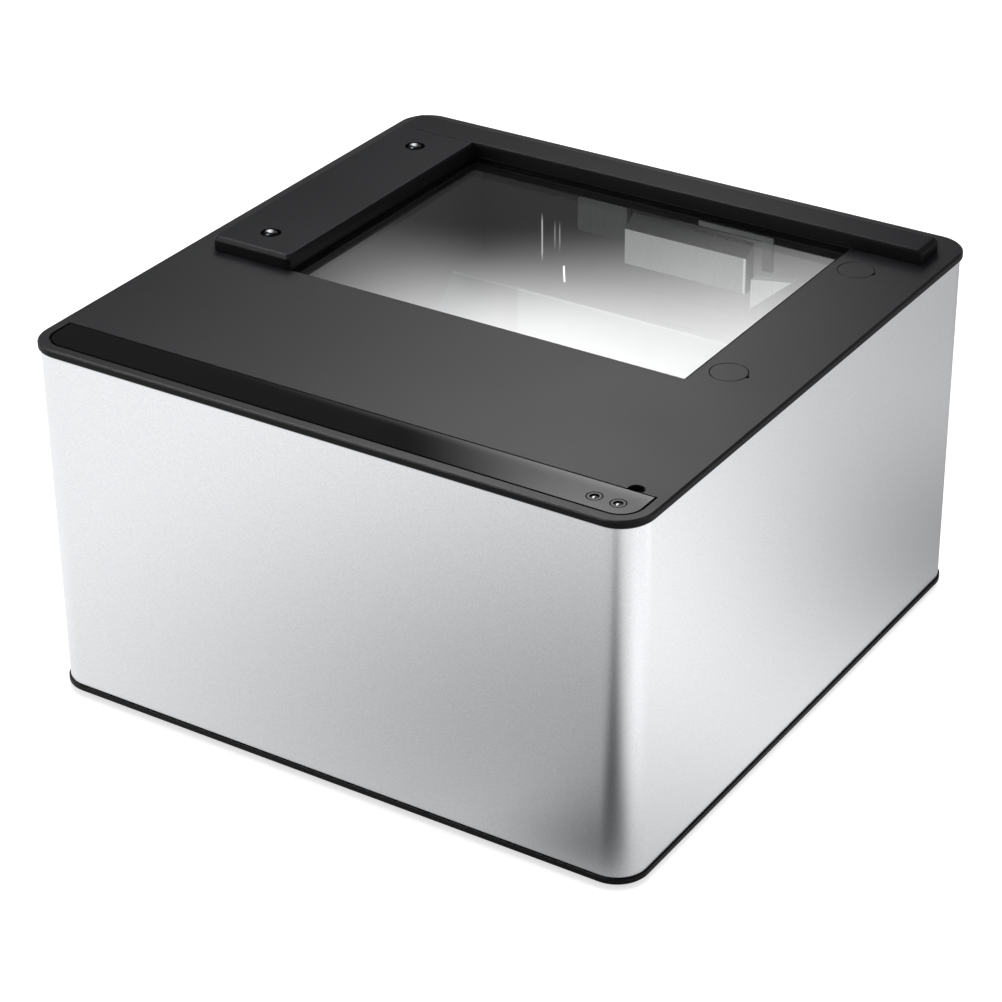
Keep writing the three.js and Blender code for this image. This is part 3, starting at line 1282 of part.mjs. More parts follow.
// A square socket for the data lead: bevelled upper corners and a central tongue
function usbSolid() {
  const half = USB_WIDTH / 2;
  const inner = USB_MOUTH_WIDTH / 2;
  const middle = USB_HEIGHT / 2;
  const low = middle - USB_MOUTH_HEIGHT / 2;
  const high = middle + USB_MOUTH_HEIGHT / 2;
  const mouth = new THREE.Shape([
    new THREE.Vector2(-inner, low),
    new THREE.Vector2(inner, low),
    new THREE.Vector2(inner, high - USB_BEVEL),
    new THREE.Vector2(inner - USB_BEVEL, high),
    new THREE.Vector2(USB_BEVEL - inner, high),
    new THREE.Vector2(-inner, high - USB_BEVEL),
  ]);
  const reach = { depth: USB_CAVITY_DEPTH + OVERRUN, bevelEnabled: false };
  const cavity = new THREE.ExtrudeGeometry(mouth, reach);
  cavity.rotateX(RIGHT_ANGLE);
  cavity.translate(0, OVERRUN, 0);
  const tongue = block(
    plan(-USB_TONGUE_WIDTH / 2, USB_TONGUE_WIDTH / 2, -USB_CAVITY_DEPTH - OVERRUN, -USB_TONGUE_RECESS),
    middle - USB_TONGUE_HEIGHT / 2,
    middle + USB_TONGUE_HEIGHT / 2,
  );
  const shell = block(plan(-half, half, -USB_DEPTH, 0), 0, USB_HEIGHT);
  return cut(shell, [solidOf(cavity)]).add(tongue);
}

function jackSolid() {
  const half = JACK_WIDTH / 2;
  const body = block(plan(-half, half, -JACK_DEPTH, 0), 0, JACK_HEIGHT);
  const height = JACK_HEIGHT / 2;
  const bore = rodAlongY(JACK_BORE_RADIUS, -JACK_BORE_DEPTH, OVERRUN, 0, height);
  const pinRoot = -JACK_BORE_DEPTH - OVERRUN;
  const pin = rodAlongY(JACK_PIN_RADIUS, pinRoot, -JACK_PIN_RADIUS, 0, height, COARSE_ROUND_STEPS);
  return cut(body, [bore]).add(pin);
}

// The switch body has a bezel on the panel's face, a room in which the rocker turns and pivot holes
const rockerTilt = THREE.MathUtils.degToRad(ROCKER_TILT_DEGREES);
const rockerReach = ROCKER_WIDTH / 2 - ROCKER_SWAY;
const rockerDip = rockerReach * Math.sin(rockerTilt);
const rockerRoomDepth = ROCKER_PIVOT_DEPTH + ROCKER_PIVOT_RADIUS + rockerDip + ROCKER_GAP;

function switchSolid() {
  const bezel = uprightPlate(centred(SWITCH_WIDTH, SWITCH_HEIGHT), SWITCH_BEZEL, 0, SWITCH_BEZEL);
  const half = SWITCH_BODY_WIDTH / 2;
  const bodyPlan = plan(-half, half, -SWITCH_BODY_DEPTH, SWITCH_BEZEL / 2);
  const body = block(bodyPlan, -SWITCH_BODY_HEIGHT / 2, SWITCH_BODY_HEIGHT / 2);
  const mouth = grown(centred(ROCKER_WIDTH, ROCKER_HEIGHT), ROCKER_GAP);
  const room = uprightPlate(mouth, ROCKER_GAP, -rockerRoomDepth, SWITCH_BEZEL + OVERRUN);
  const pivotRadius = ROCKER_PIVOT_RADIUS + ROCKER_GAP;
  const pivotReach = SWITCH_BODY_HEIGHT / 2 + OVERRUN;
  const pivotHole = post(pivotRadius, -pivotReach, pivotReach, 0, -ROCKER_PIVOT_DEPTH);
  return cut(bezel.add(body), [room, pivotHole]);
}

// The rocker turns about an upright pin: its face is two shallow slopes that meet in a valley
function rockerSolid() {
  const valley = ROCKER_PIVOT_DEPTH + SWITCH_BEZEL - ROCKER_THROAT;
  const crest = valley + rockerReach * Math.tan(rockerTilt);
  const shape = new THREE.Shape([
    new THREE.Vector2(-rockerReach, -ROCKER_PIVOT_RADIUS),
    new THREE.Vector2(rockerReach, -ROCKER_PIVOT_RADIUS),
    new THREE.Vector2(rockerReach, crest),
    new THREE.Vector2(0, valley),
    new THREE.Vector2(-rockerReach, crest),
  ]);
  const body = new THREE.ExtrudeGeometry(shape, { depth: ROCKER_HEIGHT, bevelEnabled: false });
  body.translate(0, 0, -ROCKER_HEIGHT / 2);
  const pinReach = SWITCH_BODY_HEIGHT / 2 - ROCKER_GAP;
  return solidOf(body).add(post(ROCKER_PIVOT_RADIUS, -pinReach, pinReach));
}

function backPanel() {
  const group = new THREE.Group();
  group.add(piece('rear_plate', panelSolid(), MATT_BLACK));
  const usb = piece('usb_socket', usbSolid(), STEEL);
  usb.position.set(usbX, panelFace, usbBottom);
  const jack = piece('power_jack', jackSolid(), MATT_BLACK);
  jack.position.set(jackX, panelFace, ioBoardTop);
  const switchGroup = new THREE.Group();
  switchGroup.position.set(switchX, panelFace, panelMiddle);
  const rocker = piece('power_rocker', rockerSolid(), GLOSS_BLACK);
  rocker.position.y = -ROCKER_PIVOT_DEPTH;
  rocker.rotation.z = -rockerTilt;
  switchGroup.add(piece('switch_housing', switchSolid(), MATT_BLACK), rocker);
  group.add(usb, jack, switchGroup);
  return group;
}

const scanner = new THREE.Group();
scanner.add(casing(), windowGroup(), guides(), plugs(), indicators());
scanner.add(optics(), camera(), boards(), cables(), backPanel());

export default scanner;
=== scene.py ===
import math

import bpy
from mathutils import Matrix, Vector


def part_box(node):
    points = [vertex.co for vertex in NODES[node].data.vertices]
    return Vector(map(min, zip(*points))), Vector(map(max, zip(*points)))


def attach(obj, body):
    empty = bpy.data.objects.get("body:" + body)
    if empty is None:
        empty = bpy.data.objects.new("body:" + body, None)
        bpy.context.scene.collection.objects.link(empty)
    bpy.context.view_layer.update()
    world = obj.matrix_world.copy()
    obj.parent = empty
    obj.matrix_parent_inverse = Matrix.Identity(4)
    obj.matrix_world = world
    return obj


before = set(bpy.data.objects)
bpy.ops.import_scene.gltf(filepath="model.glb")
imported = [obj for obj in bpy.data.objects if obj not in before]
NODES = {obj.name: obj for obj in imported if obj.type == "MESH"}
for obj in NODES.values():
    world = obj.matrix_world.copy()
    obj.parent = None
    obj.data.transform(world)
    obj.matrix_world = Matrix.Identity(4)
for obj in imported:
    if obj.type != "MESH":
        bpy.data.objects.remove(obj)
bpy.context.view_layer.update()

MM = 0.001
X, Y, Z = (1, 0, 0), (0, 1, 0), (0, 0, 1)
SHARP = math.radians(32)


def middle(name):
    """The middle of a node's box, seen from above."""
    low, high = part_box(name)
    return Vector(((low[0] + high[0]) / 2, (low[1] + high[1]) / 2, 0))


# Shader helpers

def emptied(name):
    """A material with an output and nothing else, its tree and that output."""
    material = bpy.data.materials.new(name)
    material.use_nodes = True
    tree = material.node_tree
    tree.nodes.clear()
    return material, tree, tree.nodes.new("ShaderNodeOutputMaterial")


def new_material(name):
    """A material with a Principled shader, its tree and that shader."""
    material, tree, output = emptied(name)
    shader = tree.nodes.new("ShaderNodeBsdfPrincipled")
    tree.links.new(shader.outputs["BSDF"], output.inputs["Surface"])
    return material, tree, shader


def srgb(code):
    """Linear numbers of a colour written as hex digits."""
    values = [int(code[i:i + 2], 16) / 255 for i in (0, 2, 4)]
    return tuple(v / 12.92 if v <= 0.04045 else ((v + 0.055) / 1.055) ** 2.4 for v in values)


def coordinates(tree, scale=(1, 1, 1)):
    """Object coordinates, scaled: they stay on the piece in every pose."""
    source = tree.nodes.new("ShaderNodeTexCoord")
    mapping = tree.nodes.new("ShaderNodeMapping")
    mapping.inputs["Scale"].default_value = scale
    tree.links.new(source.outputs["Object"], mapping.inputs["Vector"])
    return mapping.outputs["Vector"]


def noise(tree, vector, scale, detail, roughness):
    node = tree.nodes.new("ShaderNodeTexNoise")
    node.inputs["Scale"].default_value = scale
    node.inputs["Detail"].default_value = detail
    node.inputs["Roughness"].default_value = roughness
    tree.links.new(vector, node.inputs["Vector"])
    return node.outputs["Fac"]


def ramp(tree, factor, stops):
    """A colour ramp through (position, colour) stops, where a colour is a grey or three numbers."""
    node = tree.nodes.new("ShaderNodeValToRGB")
    elements = node.color_ramp.elements
    while len(elements) < len(stops):
        elements.new(0.5)
    for element, (position, colour) in zip(elements, stops):
        rgb = (colour,) * 3 if isinstance(colour, float) else colour
        element.position = position
        element.color = (*rgb, 1)
    tree.links.new(factor, node.inputs["Fac"])
    return node.outputs["Color"]


def bump(tree, shader, height, strength, distance):
    node = tree.nodes.new("ShaderNodeBump")
    node.inputs["Strength"].default_value = strength
    node.inputs["Distance"].default_value = distance
    tree.links.new(height, node.inputs["Height"])
    tree.links.new(node.outputs["Normal"], shader.inputs["Normal"])


def fade(tree, value, start, end):
    """Rises smoothly from 0 at the start to 1 at the end."""
    node = tree.nodes.new("ShaderNodeMapRange")
    node.interpolation_type = "SMOOTHSTEP"
    node.inputs["From Min"].default_value = start
    node.inputs["From Max"].default_value = end
    tree.links.new(value, node.inputs["Value"])
    return node.outputs["Result"]


def along(tree, vector, direction):
    """How far a vector reaches in a direction."""
    node = tree.nodes.new("ShaderNodeVectorMath")
    node.operation = "DOT_PRODUCT"
    node.inputs[1].default_value = direction
    tree.links.new(vector, node.inputs[0])
    return node.outputs["Value"]


def away(tree, vector, centre):
    """The distance of a vector from a point."""
    node = tree.nodes.new("ShaderNodeVectorMath")
    node.operation = "DISTANCE"
    node.inputs[1].default_value = centre
    tree.links.new(vector, node.inputs[0])
    return node.outputs["Value"]


def times(tree, parts):
    """The product of some values."""
    total = parts[0]
    for part in parts[1:]:
        node = tree.nodes.new("ShaderNodeMath")
        node.operation = "MULTIPLY"
        tree.links.new(total, node.inputs[0])
        tree.links.new(part, node.inputs[1])
        total = node.outputs[0]
    return total


def weighted_sum(tree, base, terms):
    """base + the sum of value times weight, never below zero."""
    total = None
    for value, weight in terms:
        node = tree.nodes.new("ShaderNodeMath")
        node.operation = "MULTIPLY_ADD"
        node.inputs[1].default_value = weight
        tree.links.new(value, node.inputs[0])
        if total is None:
            node.inputs[2].default_value = base
        else:
            tree.links.new(total, node.inputs[2])
        total = node.outputs[0]
    clip = tree.nodes.new("ShaderNodeMath")
    clip.operation = "MAXIMUM"
    clip.inputs[1].default_value = 0.0
    tree.links.new(total, clip.inputs[0])
    return clip.outputs[0]


def paint_light_into(tree, shader, colour, base, terms):
    """Paints light into a Principled shader: it glows in a colour, at base + the sum of value times weight.
    """
    shader.inputs["Emission Color"].default_value = (*colour, 1)
    tree.links.new(weighted_sum(tree, base, terms), shader.inputs["Emission Strength"])


# Finishes

def grained(
    name, dark, light, roughness,
    grain=900.0, depth=0.12, metallic=0.0, spread=0.06, ior=1.5, wear=26.0,
):
    """A finish with a fine grain in its relief and a slow change of tone and gloss over the surface."""
    material, tree, shader = new_material(name)
    shader.inputs["Metallic"].default_value = metallic
    shader.inputs["IOR"].default_value = ior
    fine = noise(tree, coordinates(tree), grain, detail=2.0, roughness=0.7)
    slow = noise(tree, coordinates(tree), wear, detail=4.0, roughness=0.55)
    tree.links.new(ramp(tree, slow, [(0.3, srgb(dark)), (0.7, srgb(light))]), shader.inputs["Base Color"])
    gloss = ramp(tree, slow, [(0.25, roughness - spread / 2), (0.75, roughness + spread / 2)])
    tree.links.new(gloss, shader.inputs["Roughness"])
    bump(tree, shader, fine, depth, 0.2 * MM)
    return material


def anodised():
    """Bead-blasted anodised aluminium: a fine sparkle in tone, gloss and relief."""
    material, tree, shader = new_material("anodised_aluminium")
    shader.inputs["Metallic"].default_value = 1.0
    fine = noise(tree, coordinates(tree), 2200.0, detail=2.0, roughness=0.75)
    tone = ramp(tree, fine, [(0.35, srgb("d7d9dc")), (0.65, srgb("e5e6e8"))])
    tree.links.new(tone, shader.inputs["Base Color"])
    tree.links.new(ramp(tree, fine, [(0.3, 0.3), (0.7, 0.34)]), shader.inputs["Roughness"])
    bump(tree, shader, fine, 0.08, 0.1 * MM)
    return material


def clear_glass():
    """Window glass with a faint green body and traces of handling in its gloss."""
    material, tree, shader = new_material("window_glass")
    shader.inputs["Transmission Weight"].default_value = 1.0
    shader.inputs["IOR"].default_value = 1.5
    trace = noise(tree, coordinates(tree), 30.0, detail=5.0, roughness=0.6)
    body = ramp(tree, trace, [(0.4, (0.97, 0.985, 0.98)), (0.8, (0.95, 0.97, 0.965))])
    tree.links.new(body, shader.inputs["Base Color"])
    tree.links.new(ramp(tree, trace, [(0.5, 0.0), (0.9, 0.012)]), shader.inputs["Roughness"])
    return material


CLOUD_SHADE = 0.92
RIB_SCALE = 520.0
RIB_DEPTH = 0.4 * MM
# Level of the painted glint along one diffuser's edge
EDGE_PAINTED_GLINT_LEVEL = 0.7


def painted_glow_opal(name, colour, face, rest, edge=None):
    """Opal diffuser plastic with upright ribs and painted light: a painted glow, strongest on its front face,
    and a painted glint that may run along one edge.
    """
    material, tree, shader = new_material(name)
    place = coordinates(tree)
    cloud = noise(tree, place, 60.0, detail=3.0, roughness=0.5)
    shade = tuple(c * CLOUD_SHADE for c in srgb(colour))
    base = ramp(tree, cloud, [(0.3, shade), (0.7, srgb(colour))])
    tree.links.new(base, shader.inputs["Base Color"])
    tree.links.new(base, shader.inputs["Emission Color"])
    shader.inputs["Roughness"].default_value = 0.45
    normal = tree.nodes.new("ShaderNodeTexCoord").outputs["Normal"]
    frontal = fade(tree, along(tree, normal, (0, -1, 0)), 0.75, 1.0)
    terms = [(frontal, face - rest)]
    if edge:
        x = along(tree, place, X)
        starts = fade(tree, x, edge - 1.1 * MM, edge - 0.8 * MM)
        ends = fade(tree, x, edge - 0.1 * MM, edge - 0.4 * MM)
        terms.append((times(tree, [frontal, starts, ends]), EDGE_PAINTED_GLINT_LEVEL))
    tree.links.new(weighted_sum(tree, rest, terms), shader.inputs["Emission Strength"])
    wave = tree.nodes.new("ShaderNodeTexWave")
    wave.bands_direction = "X"
    wave.inputs["Scale"].default_value = RIB_SCALE
    tree.links.new(place, wave.inputs["Vector"])
    bump(tree, shader, wave.outputs["Fac"], 0.6, RIB_DEPTH)
    return material


# The light box has painted light inside. Its painted glow and glints are placed, in metres, along two
# directions that run up and to the right in the photograph.
PICTURE_UP = (-0.268, 0.4145, 0.8698)
PICTURE_RIGHT = (0.8396, 0.5432, 0)
PAINTED_LIGHT_COLOUR = (1, 0.985, 0.99)
PAINTED_GLINT_HALF_WIDTH = 0.45 * MM

# The painted glow rises downward and from the left to its level, and loses a share of that on the right
CHAMBER_PAINTED_LIGHT = {
    "least": 0.005,
    "level": 0.8,
    "downward": (0.1279, 0.0851),
    "from_left": (-0.0788, -0.0173),
    "to_right": (-0.0014, 0.0596),
    "lost_share": 0.472,
}
# The mirror's painted reflection: a glow laid out in the same way
MIRROR_PAINTED_REFLECTION = {
    "least": 0.003,
    "level": 1.0,
    "downward": (0.1215, 0.0907),
    "from_left": (-0.0385, -0.0014),
    "to_right": (-0.0475, 0.1102),
    "lost_share": 0.83,
}

# Each painted glint: a direction, its place along it, its ends along PICTURE_UP, how soft they are, its level
CHAMBER_PAINTED_GLINTS = [
    (X, -0.0422, (0.1148, 0.1305), 0.004, 0.6),
    (X, -0.0374, (0.1179, 0.1283), 0.004, 0.24),
    (X, -0.0356, (0.1174, 0.1278), 0.004, 0.28),
    (PICTURE_RIGHT, 0.01707, (0.1075, 0.1137), 0.0006, 1.6),
]
MIRROR_PAINTED_GLINTS = [(Y, 0.0634, (0.05, 0.2), 0.001, 0.07)]


def painted_light_inside(finish, glow, glints):
    """What lines the light box, with painted light: a painted glow where the lamps at its front would reach
    it, and a few thin painted glints.
    """
    material = grained(**finish)
    tree = material.node_tree
    shader = tree.nodes["Principled BSDF"]
    place = coordinates(tree)
    rise = along(tree, place, PICTURE_UP)
    across = along(tree, place, PICTURE_RIGHT)
    down = fade(tree, rise, *glow["downward"])
    from_left = times(tree, [down, fade(tree, across, *glow["from_left"])])
    to_right = times(tree, [down, fade(tree, across, *glow["to_right"])])
    terms = [(from_left, glow["level"]), (to_right, -glow["level"] * glow["lost_share"])]
    for direction, offset, (low, high), soft, level in glints:
        beside = along(tree, place, direction)
        line = [
            fade(tree, beside, offset - PAINTED_GLINT_HALF_WIDTH, offset),
            fade(tree, beside, offset + PAINTED_GLINT_HALF_WIDTH, offset),
            fade(tree, rise, low, low + soft),
            fade(tree, rise, high, high - soft),
        ]
        terms.append((times(tree, line), level))
    paint_light_into(tree, shader, PAINTED_LIGHT_COLOUR, glow["least"], terms)
    return material


# A painted highlight on each guide screw's dome: its offset from the dome's middle, its soft edge and core,
# its level
DOME_PAINTED_HIGHLIGHT = Vector((-0.77, 0.3, 0)) * MM
DOME_PAINTED_HIGHLIGHT_EDGE, DOME_PAINTED_HIGHLIGHT_CORE = 1.5 * MM, 0.1 * MM
DOME_PAINTED_HIGHLIGHT_LEVEL = 0.9


def domed_steel_painted_highlight(finish, names):
    """Dark polished steel with a painted highlight: a soft glowing spot on the side of each dome."""
    material = grained(**finish)
    tree = material.node_tree
    flat = coordinates(tree, (1, 1, 0))
    terms = []
    for name in names:
        dome_highlight = away(tree, flat, middle(name) + DOME_PAINTED_HIGHLIGHT)
        terms.append((fade(tree, dome_highlight, DOME_PAINTED_HIGHLIGHT_EDGE, DOME_PAINTED_HIGHLIGHT_CORE), DOME_PAINTED_HIGHLIGHT_LEVEL))
    paint_light_into(tree, tree.nodes["Principled BSDF"], (0.95, 0.96, 1), 0.0, terms)
    return material


LENS_RADIUS = 1.7 * MM
LENS_RINGS = [(0.0, "3c3d40"), (0.42, "303134"), (0.56, "55565a"), (0.68, "232426"), (1.0, "141415")]
# A painted highlight a little to the front of each lens's middle, and a faint painted glow over the whole
# lens
LENS_PAINTED_HIGHLIGHT = Vector((-0.08, -0.36, 0)) * MM
LENS_PAINTED_HIGHLIGHT_EDGE, LENS_PAINTED_HIGHLIGHT_CORE = 0.42 * MM, 0.15 * MM
LENS_PAINTED_HIGHLIGHT_LEVEL, LENS_PAINTED_GLOW_LEVEL = 1.2, 0.02


def lamp_lens(node_name, name):
    """A smoked lens with a paler ring moulded into it, a faint painted glow and a painted highlight: a bright
    spot a little to the front of its middle.
    """
    material, tree, shader = new_material(name)
    shader.inputs["Roughness"].default_value = 0.14
    flat = coordinates(tree, (1, 1, 0))
    radius = fade(tree, away(tree, flat, middle(node_name)), 0.0, LENS_RADIUS)
    rings = [(position, srgb(code)) for position, code in LENS_RINGS]
    tree.links.new(ramp(tree, radius, rings), shader.inputs["Base Color"])
    spot = fade(tree, away(tree, flat, middle(node_name) + LENS_PAINTED_HIGHLIGHT), LENS_PAINTED_HIGHLIGHT_EDGE, LENS_PAINTED_HIGHLIGHT_CORE)
    paint_light_into(tree, shader, (1, 1, 1), LENS_PAINTED_GLOW_LEVEL, [(spot, LENS_PAINTED_HIGHLIGHT_LEVEL)])
    return material


# Materials, by the name of a look

def finish(name, dark, light, roughness, **rest):
    """The arguments of one grained finish."""
    return {"name": name, "dark": dark, "light": light, "roughness": roughness, **rest}


GRAINED = {
    "cover": finish("cover_black", "0f0f12", "131316", 0.4, grain=1600.0, depth=0.1, ior=1.4),
    # Painted shade: the darker, less glossy finish of the black pieces' and the glass's sides
    "guide": finish("guide_black", "0d0d10", "111114", 0.4, grain=1600.0, depth=0.08, ior=1.27),
    "side": finish("side_black_painted_shade", "0a0a0b", "0e0e0f", 0.5, grain=1600.0, depth=0.1, ior=1.22),
    "gloss": finish("strip_gloss", "060607", "09090a", 0.045, grain=60.0, depth=0.01, spread=0.01),
    # Painted shade along the strip's edges: near-black and barely reflecting
    "edge": finish("strip_edge_painted_shade", "030303", "050505", 0.7, ior=1.03),
    "matt": finish("matt_black", "0d0d0e", "141415", 0.7, depth=0.2),
    "base": finish("base_black", "08080a", "0c0c0d", 0.5, depth=0.15, ior=1.3),
    "rubber": finish("foot_rubber", "141414", "1c1c1c", 0.85, grain=700.0, depth=0.3),
    "steel": finish("screw_steel", "b9babc", "d2d3d5", 0.2, grain=500.0, depth=0.06, metallic=1.0),
    "board": finish("board_green", "123f26", "1c5a36", 0.4, grain=400.0, depth=0.1, wear=160.0),
    "chip": finish("chip_black", "101011", "1a1a1b", 0.5),
    "ribbon": finish("ribbon_white", "c9c7bf", "d9d7cf", 0.5, grain=500.0),
}
DOME = finish("domed_steel_painted_highlight", "1d1e20", "27282a", 0.3, grain=500.0, depth=0.04, metallic=1.0)
CHAMBER = finish("chamber_black_painted_light", "0d0d0e", "141415", 0.7, spread=0.02)
MIRROR = finish("mirror_silver_painted_reflection", "d5d7d9", "dddfe1", 0.05, depth=0.0, metallic=1.0, spread=0.02)
GUIDE_SCREWS = ["guide_screw_front", "guide_screw_rear"]
# The main diffuser's right side, where its painted glint runs
main_diffuser_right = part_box("rear_diffuser_main")[1][0]

MATERIALS = {look: grained(**values) for look, values in GRAINED.items()}
MATERIALS.update({
    "aluminium": anodised(),
    "glass": clear_glass(),
    # Painted highlight on the guide screws' domes
    "domed_steel_painted_highlight": domed_steel_painted_highlight(DOME, GUIDE_SCREWS),
    # Painted light and glints inside the light box, and a painted reflection and glint on the mirror
    "chamber": painted_light_inside(CHAMBER, CHAMBER_PAINTED_LIGHT, CHAMBER_PAINTED_GLINTS),
    "mirror": painted_light_inside(MIRROR, MIRROR_PAINTED_REFLECTION, MIRROR_PAINTED_GLINTS),
    # Painted highlight and faint painted glow on each lamp lens
    "left_lens": lamp_lens("indicator_lens_left", "left_lens"),
    "right_lens": lamp_lens("indicator_lens_right", "right_lens"),
    # Painted glow of the diffusers: lit and shaded copies of one opal plastic, the main one with a painted
    # glint on its right edge
    "diffuser": painted_glow_opal("opal_diffuser_painted_glow", "a6a8a7", face=0.56, rest=0.0, edge=main_diffuser_right),
    "painted_bright_diffuser": painted_glow_opal("painted_lit_diffuser", "d0d2d1", face=0.5, rest=0.3),
    "painted_faint_diffuser": painted_glow_opal("painted_shade_diffuser", "4e504f", face=0.32, rest=0.05),
    "clip_diffuser_painted_glow": painted_glow_opal("clip_diffuser_painted_glow", "848685", face=0.1, rest=0.03),
})

screws = [name for name in NODES if "screw" in name or name.startswith("spacer")]
LOOKS = [
    ("aluminium", ["housing_sleeve", "heat_sink"]),
    ("cover", ["top_cover", "plug_front", "plug_rear"]),
    ("guide", ["guide_plate", "guide_bar"]),
    ("gloss", ["indicator_strip", "power_rocker"]),
    ("chamber", ["optical_chamber"]),
    ("matt", ["glass_seal", "lens_mount", "lens_barrel", "rear_plate", "power_jack", "switch_housing"]),
    ("base", ["base_pan"]),
    ("rubber", [name for name in NODES if name.startswith("foot_")]),
    ("domed_steel_painted_highlight", GUIDE_SCREWS),
    ("steel", [name for name in screws if name not in GUIDE_SCREWS] + ["usb_socket", "camera_bracket"]),
    ("glass", ["window_glass"]),
    ("left_lens", ["indicator_lens_left"]),
    ("right_lens", ["indicator_lens_right"]),
    ("diffuser", ["rear_diffuser_main"]),
    ("painted_bright_diffuser", ["rear_diffuser_corner"]),
    ("painted_faint_diffuser", ["rear_diffuser_side"]),
    ("clip_diffuser_painted_glow", ["rear_diffuser_clip"]),
    ("mirror", ["mirror"]),
    ("board", [name for name in NODES if name.endswith("_board")]),
    ("chip", ["processor"]),
    ("ribbon", [name for name in NODES if name.endswith("_ribbon")]),
]

# Widths of softened edges in millimetres, and the material of one piece's edges, a near-black that paints
# shade along them
BEVELS = {
    "top_cover": 0.12,
    "guide_plate": 0.2,
    "guide_bar": 0.2,
    "plug_front": 0.15,
    "plug_rear": 0.15,
    "base_pan": 0.1,
    "indicator_strip": 0.25,
}
PAINTED_SHADE_EDGES = {"indicator_strip": MATERIALS["edge"]}

# A face whose normal is less upright than this is a side, which gets painted shade: the darker, less glossy
# side finish
UPRIGHT = {name: 0.35 for name in BEVELS}
UPRIGHT["window_glass"] = 0.9


def dress(name, material):
    """Gives a CAD node its materials and softens its edges with modifiers."""
    node = NODES[name]
    mesh = node.data
    mesh.materials.clear()
    mesh.materials.append(material)
    if name in UPRIGHT:
        # Painted shade: the side faces take the darker side finish
        mesh.materials.append(MATERIALS["side"])
        shaded_sides = [int(abs(face.normal.z) < UPRIGHT[name]) for face in mesh.polygons]
        mesh.polygons.foreach_set("material_index", shaded_sides)
    mesh.polygons.foreach_set("use_smooth", [True] * len(mesh.polygons))
    weld = node.modifiers.new("weld", "WELD")
    weld.merge_threshold = 1e-6
    if name in BEVELS:
        bevel(node, BEVELS[name] * MM, PAINTED_SHADE_EDGES.get(name))
    else:
        split = node.modifiers.new("split", "EDGE_SPLIT")
        split.split_angle = SHARP


def bevel(node, width, edge):
    """Rounds the sharp edges of a node, which may have a material of their own."""
    flat = node.modifiers.new("flat", "DECIMATE")
    flat.decimate_type = "DISSOLVE"
    flat.angle_limit = math.radians(0.4)
    soften = node.modifiers.new("soften", "BEVEL")
    soften.width = width
    soften.segments = 2
    soften.limit_method = "ANGLE"
    soften.use_clamp_overlap = False
    soften.angle_limit = SHARP
    if edge:
        node.data.materials.append(edge)
        soften.material = len(node.data.materials) - 1
    even = node.modifiers.new("even", "WEIGHTED_NORMAL")
    even.mode = "FACE_AREA"
    even.weight = 100


for look, names in LOOKS:
    for name in names:
        dress(name, MATERIALS[look])
undressed = set(NODES) - {name for _, names in LOOKS for name in names}
assert not undressed, undressed


# Bezels of the two lamps: thin rings that sit in the strip's holes
BEZEL_INNER, BEZEL_OUTER = 1.35 * MM, 1.99 * MM
BEZEL_DEPTH, BEZEL_STEP = 0.4 * MM, 0.02 * MM


def lathed(name, profile, centre, steps=96):
    """A closed ring: a profile of (radius, height) points turned about an upright axis."""
    turns = [2 * math.pi * i / steps for i in range(steps)]
    points = [
        (centre.x + radius * math.cos(turn), centre.y + radius * math.sin(turn), height)
        for turn in turns for radius, height in profile
    ]
    count = len(profile)
    faces = []
    for i in range(steps):
        here, there = i * count, (i + 1) % steps * count
        for j in range(count):
            after = (j + 1) % count
            faces.append((here + j, there + j, there + after, here + after))
    mesh = bpy.data.meshes.new(name)
    mesh.from_pydata(points, [], faces)
    mesh.polygons.foreach_set("use_smooth", [True] * len(faces))
    ring = bpy.data.objects.new(name, mesh)
    bpy.context.collection.objects.link(ring)
    split = ring.modifiers.new("split", "EDGE_SPLIT")
    split.split_angle = SHARP
    return ring


strip_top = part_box("indicator_strip")[1][2]
bezel_low, bezel_high = strip_top - BEZEL_DEPTH, strip_top - BEZEL_STEP
bezel_profile = [
    (BEZEL_INNER, bezel_low),
    (BEZEL_OUTER, bezel_low),
    (BEZEL_OUTER, bezel_high),
    (BEZEL_INNER, bezel_high),
]
for side in ("left", "right"):
    bezel_ring = lathed(f"lamp_bezel_{side}", bezel_profile, middle(f"indicator_lens_{side}"))
    bezel_ring.data.materials.append(MATERIALS["gloss"])
    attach(bezel_ring, "chassis")


# Studio: a pale floor, soft lamps, a lit panel and painted floor spots that only what is glossy or clear sees

def stage_plane(name, corners, material):
    mesh = bpy.data.meshes.new(name)
    mesh.from_pydata(corners, [], [(0, 1, 2, 3)])
    mesh.materials.append(material)
    plane = bpy.data.objects.new(name, mesh)
    bpy.context.collection.objects.link(plane)
    return plane


FLOOR_HALF = 6
FLOOR_GREY = (0.8, 0.8, 0.8, 1)
FLOOR_GLOW = 0.6
PAINTED_FLOOR_LEVEL = 1.2

# Soft round spots painted on the floor for what is glossy, lighter or darker, with painted shade beside the
# object: centre, radius and how much each adds to the level
PAINTED_FLOOR_SPOTS = [
    ((0.058, -0.185, 0), 0.25, -0.76),
    ((0.21, -0.1, 0), 0.1, 0.4),
    ((0.24, 0.07, 0), 0.15, 0.3),
    ((0.13, 0.34, 0), 0.36, -0.75),
    ((0.1, 0.11, 0), 0.14, -0.52),
]

# A soft dark band painted on the floor for what is glossy, in front of the object's corner: where it starts
# and ends across itself
BAND_ACROSS = (0.945, 0.327, 0)
BAND_START, BAND_END = (0.0, 0.046), (0.114, 0.064)
BAND_AHEAD = (-0.09, -0.12)
BAND_LEVEL = -0.48


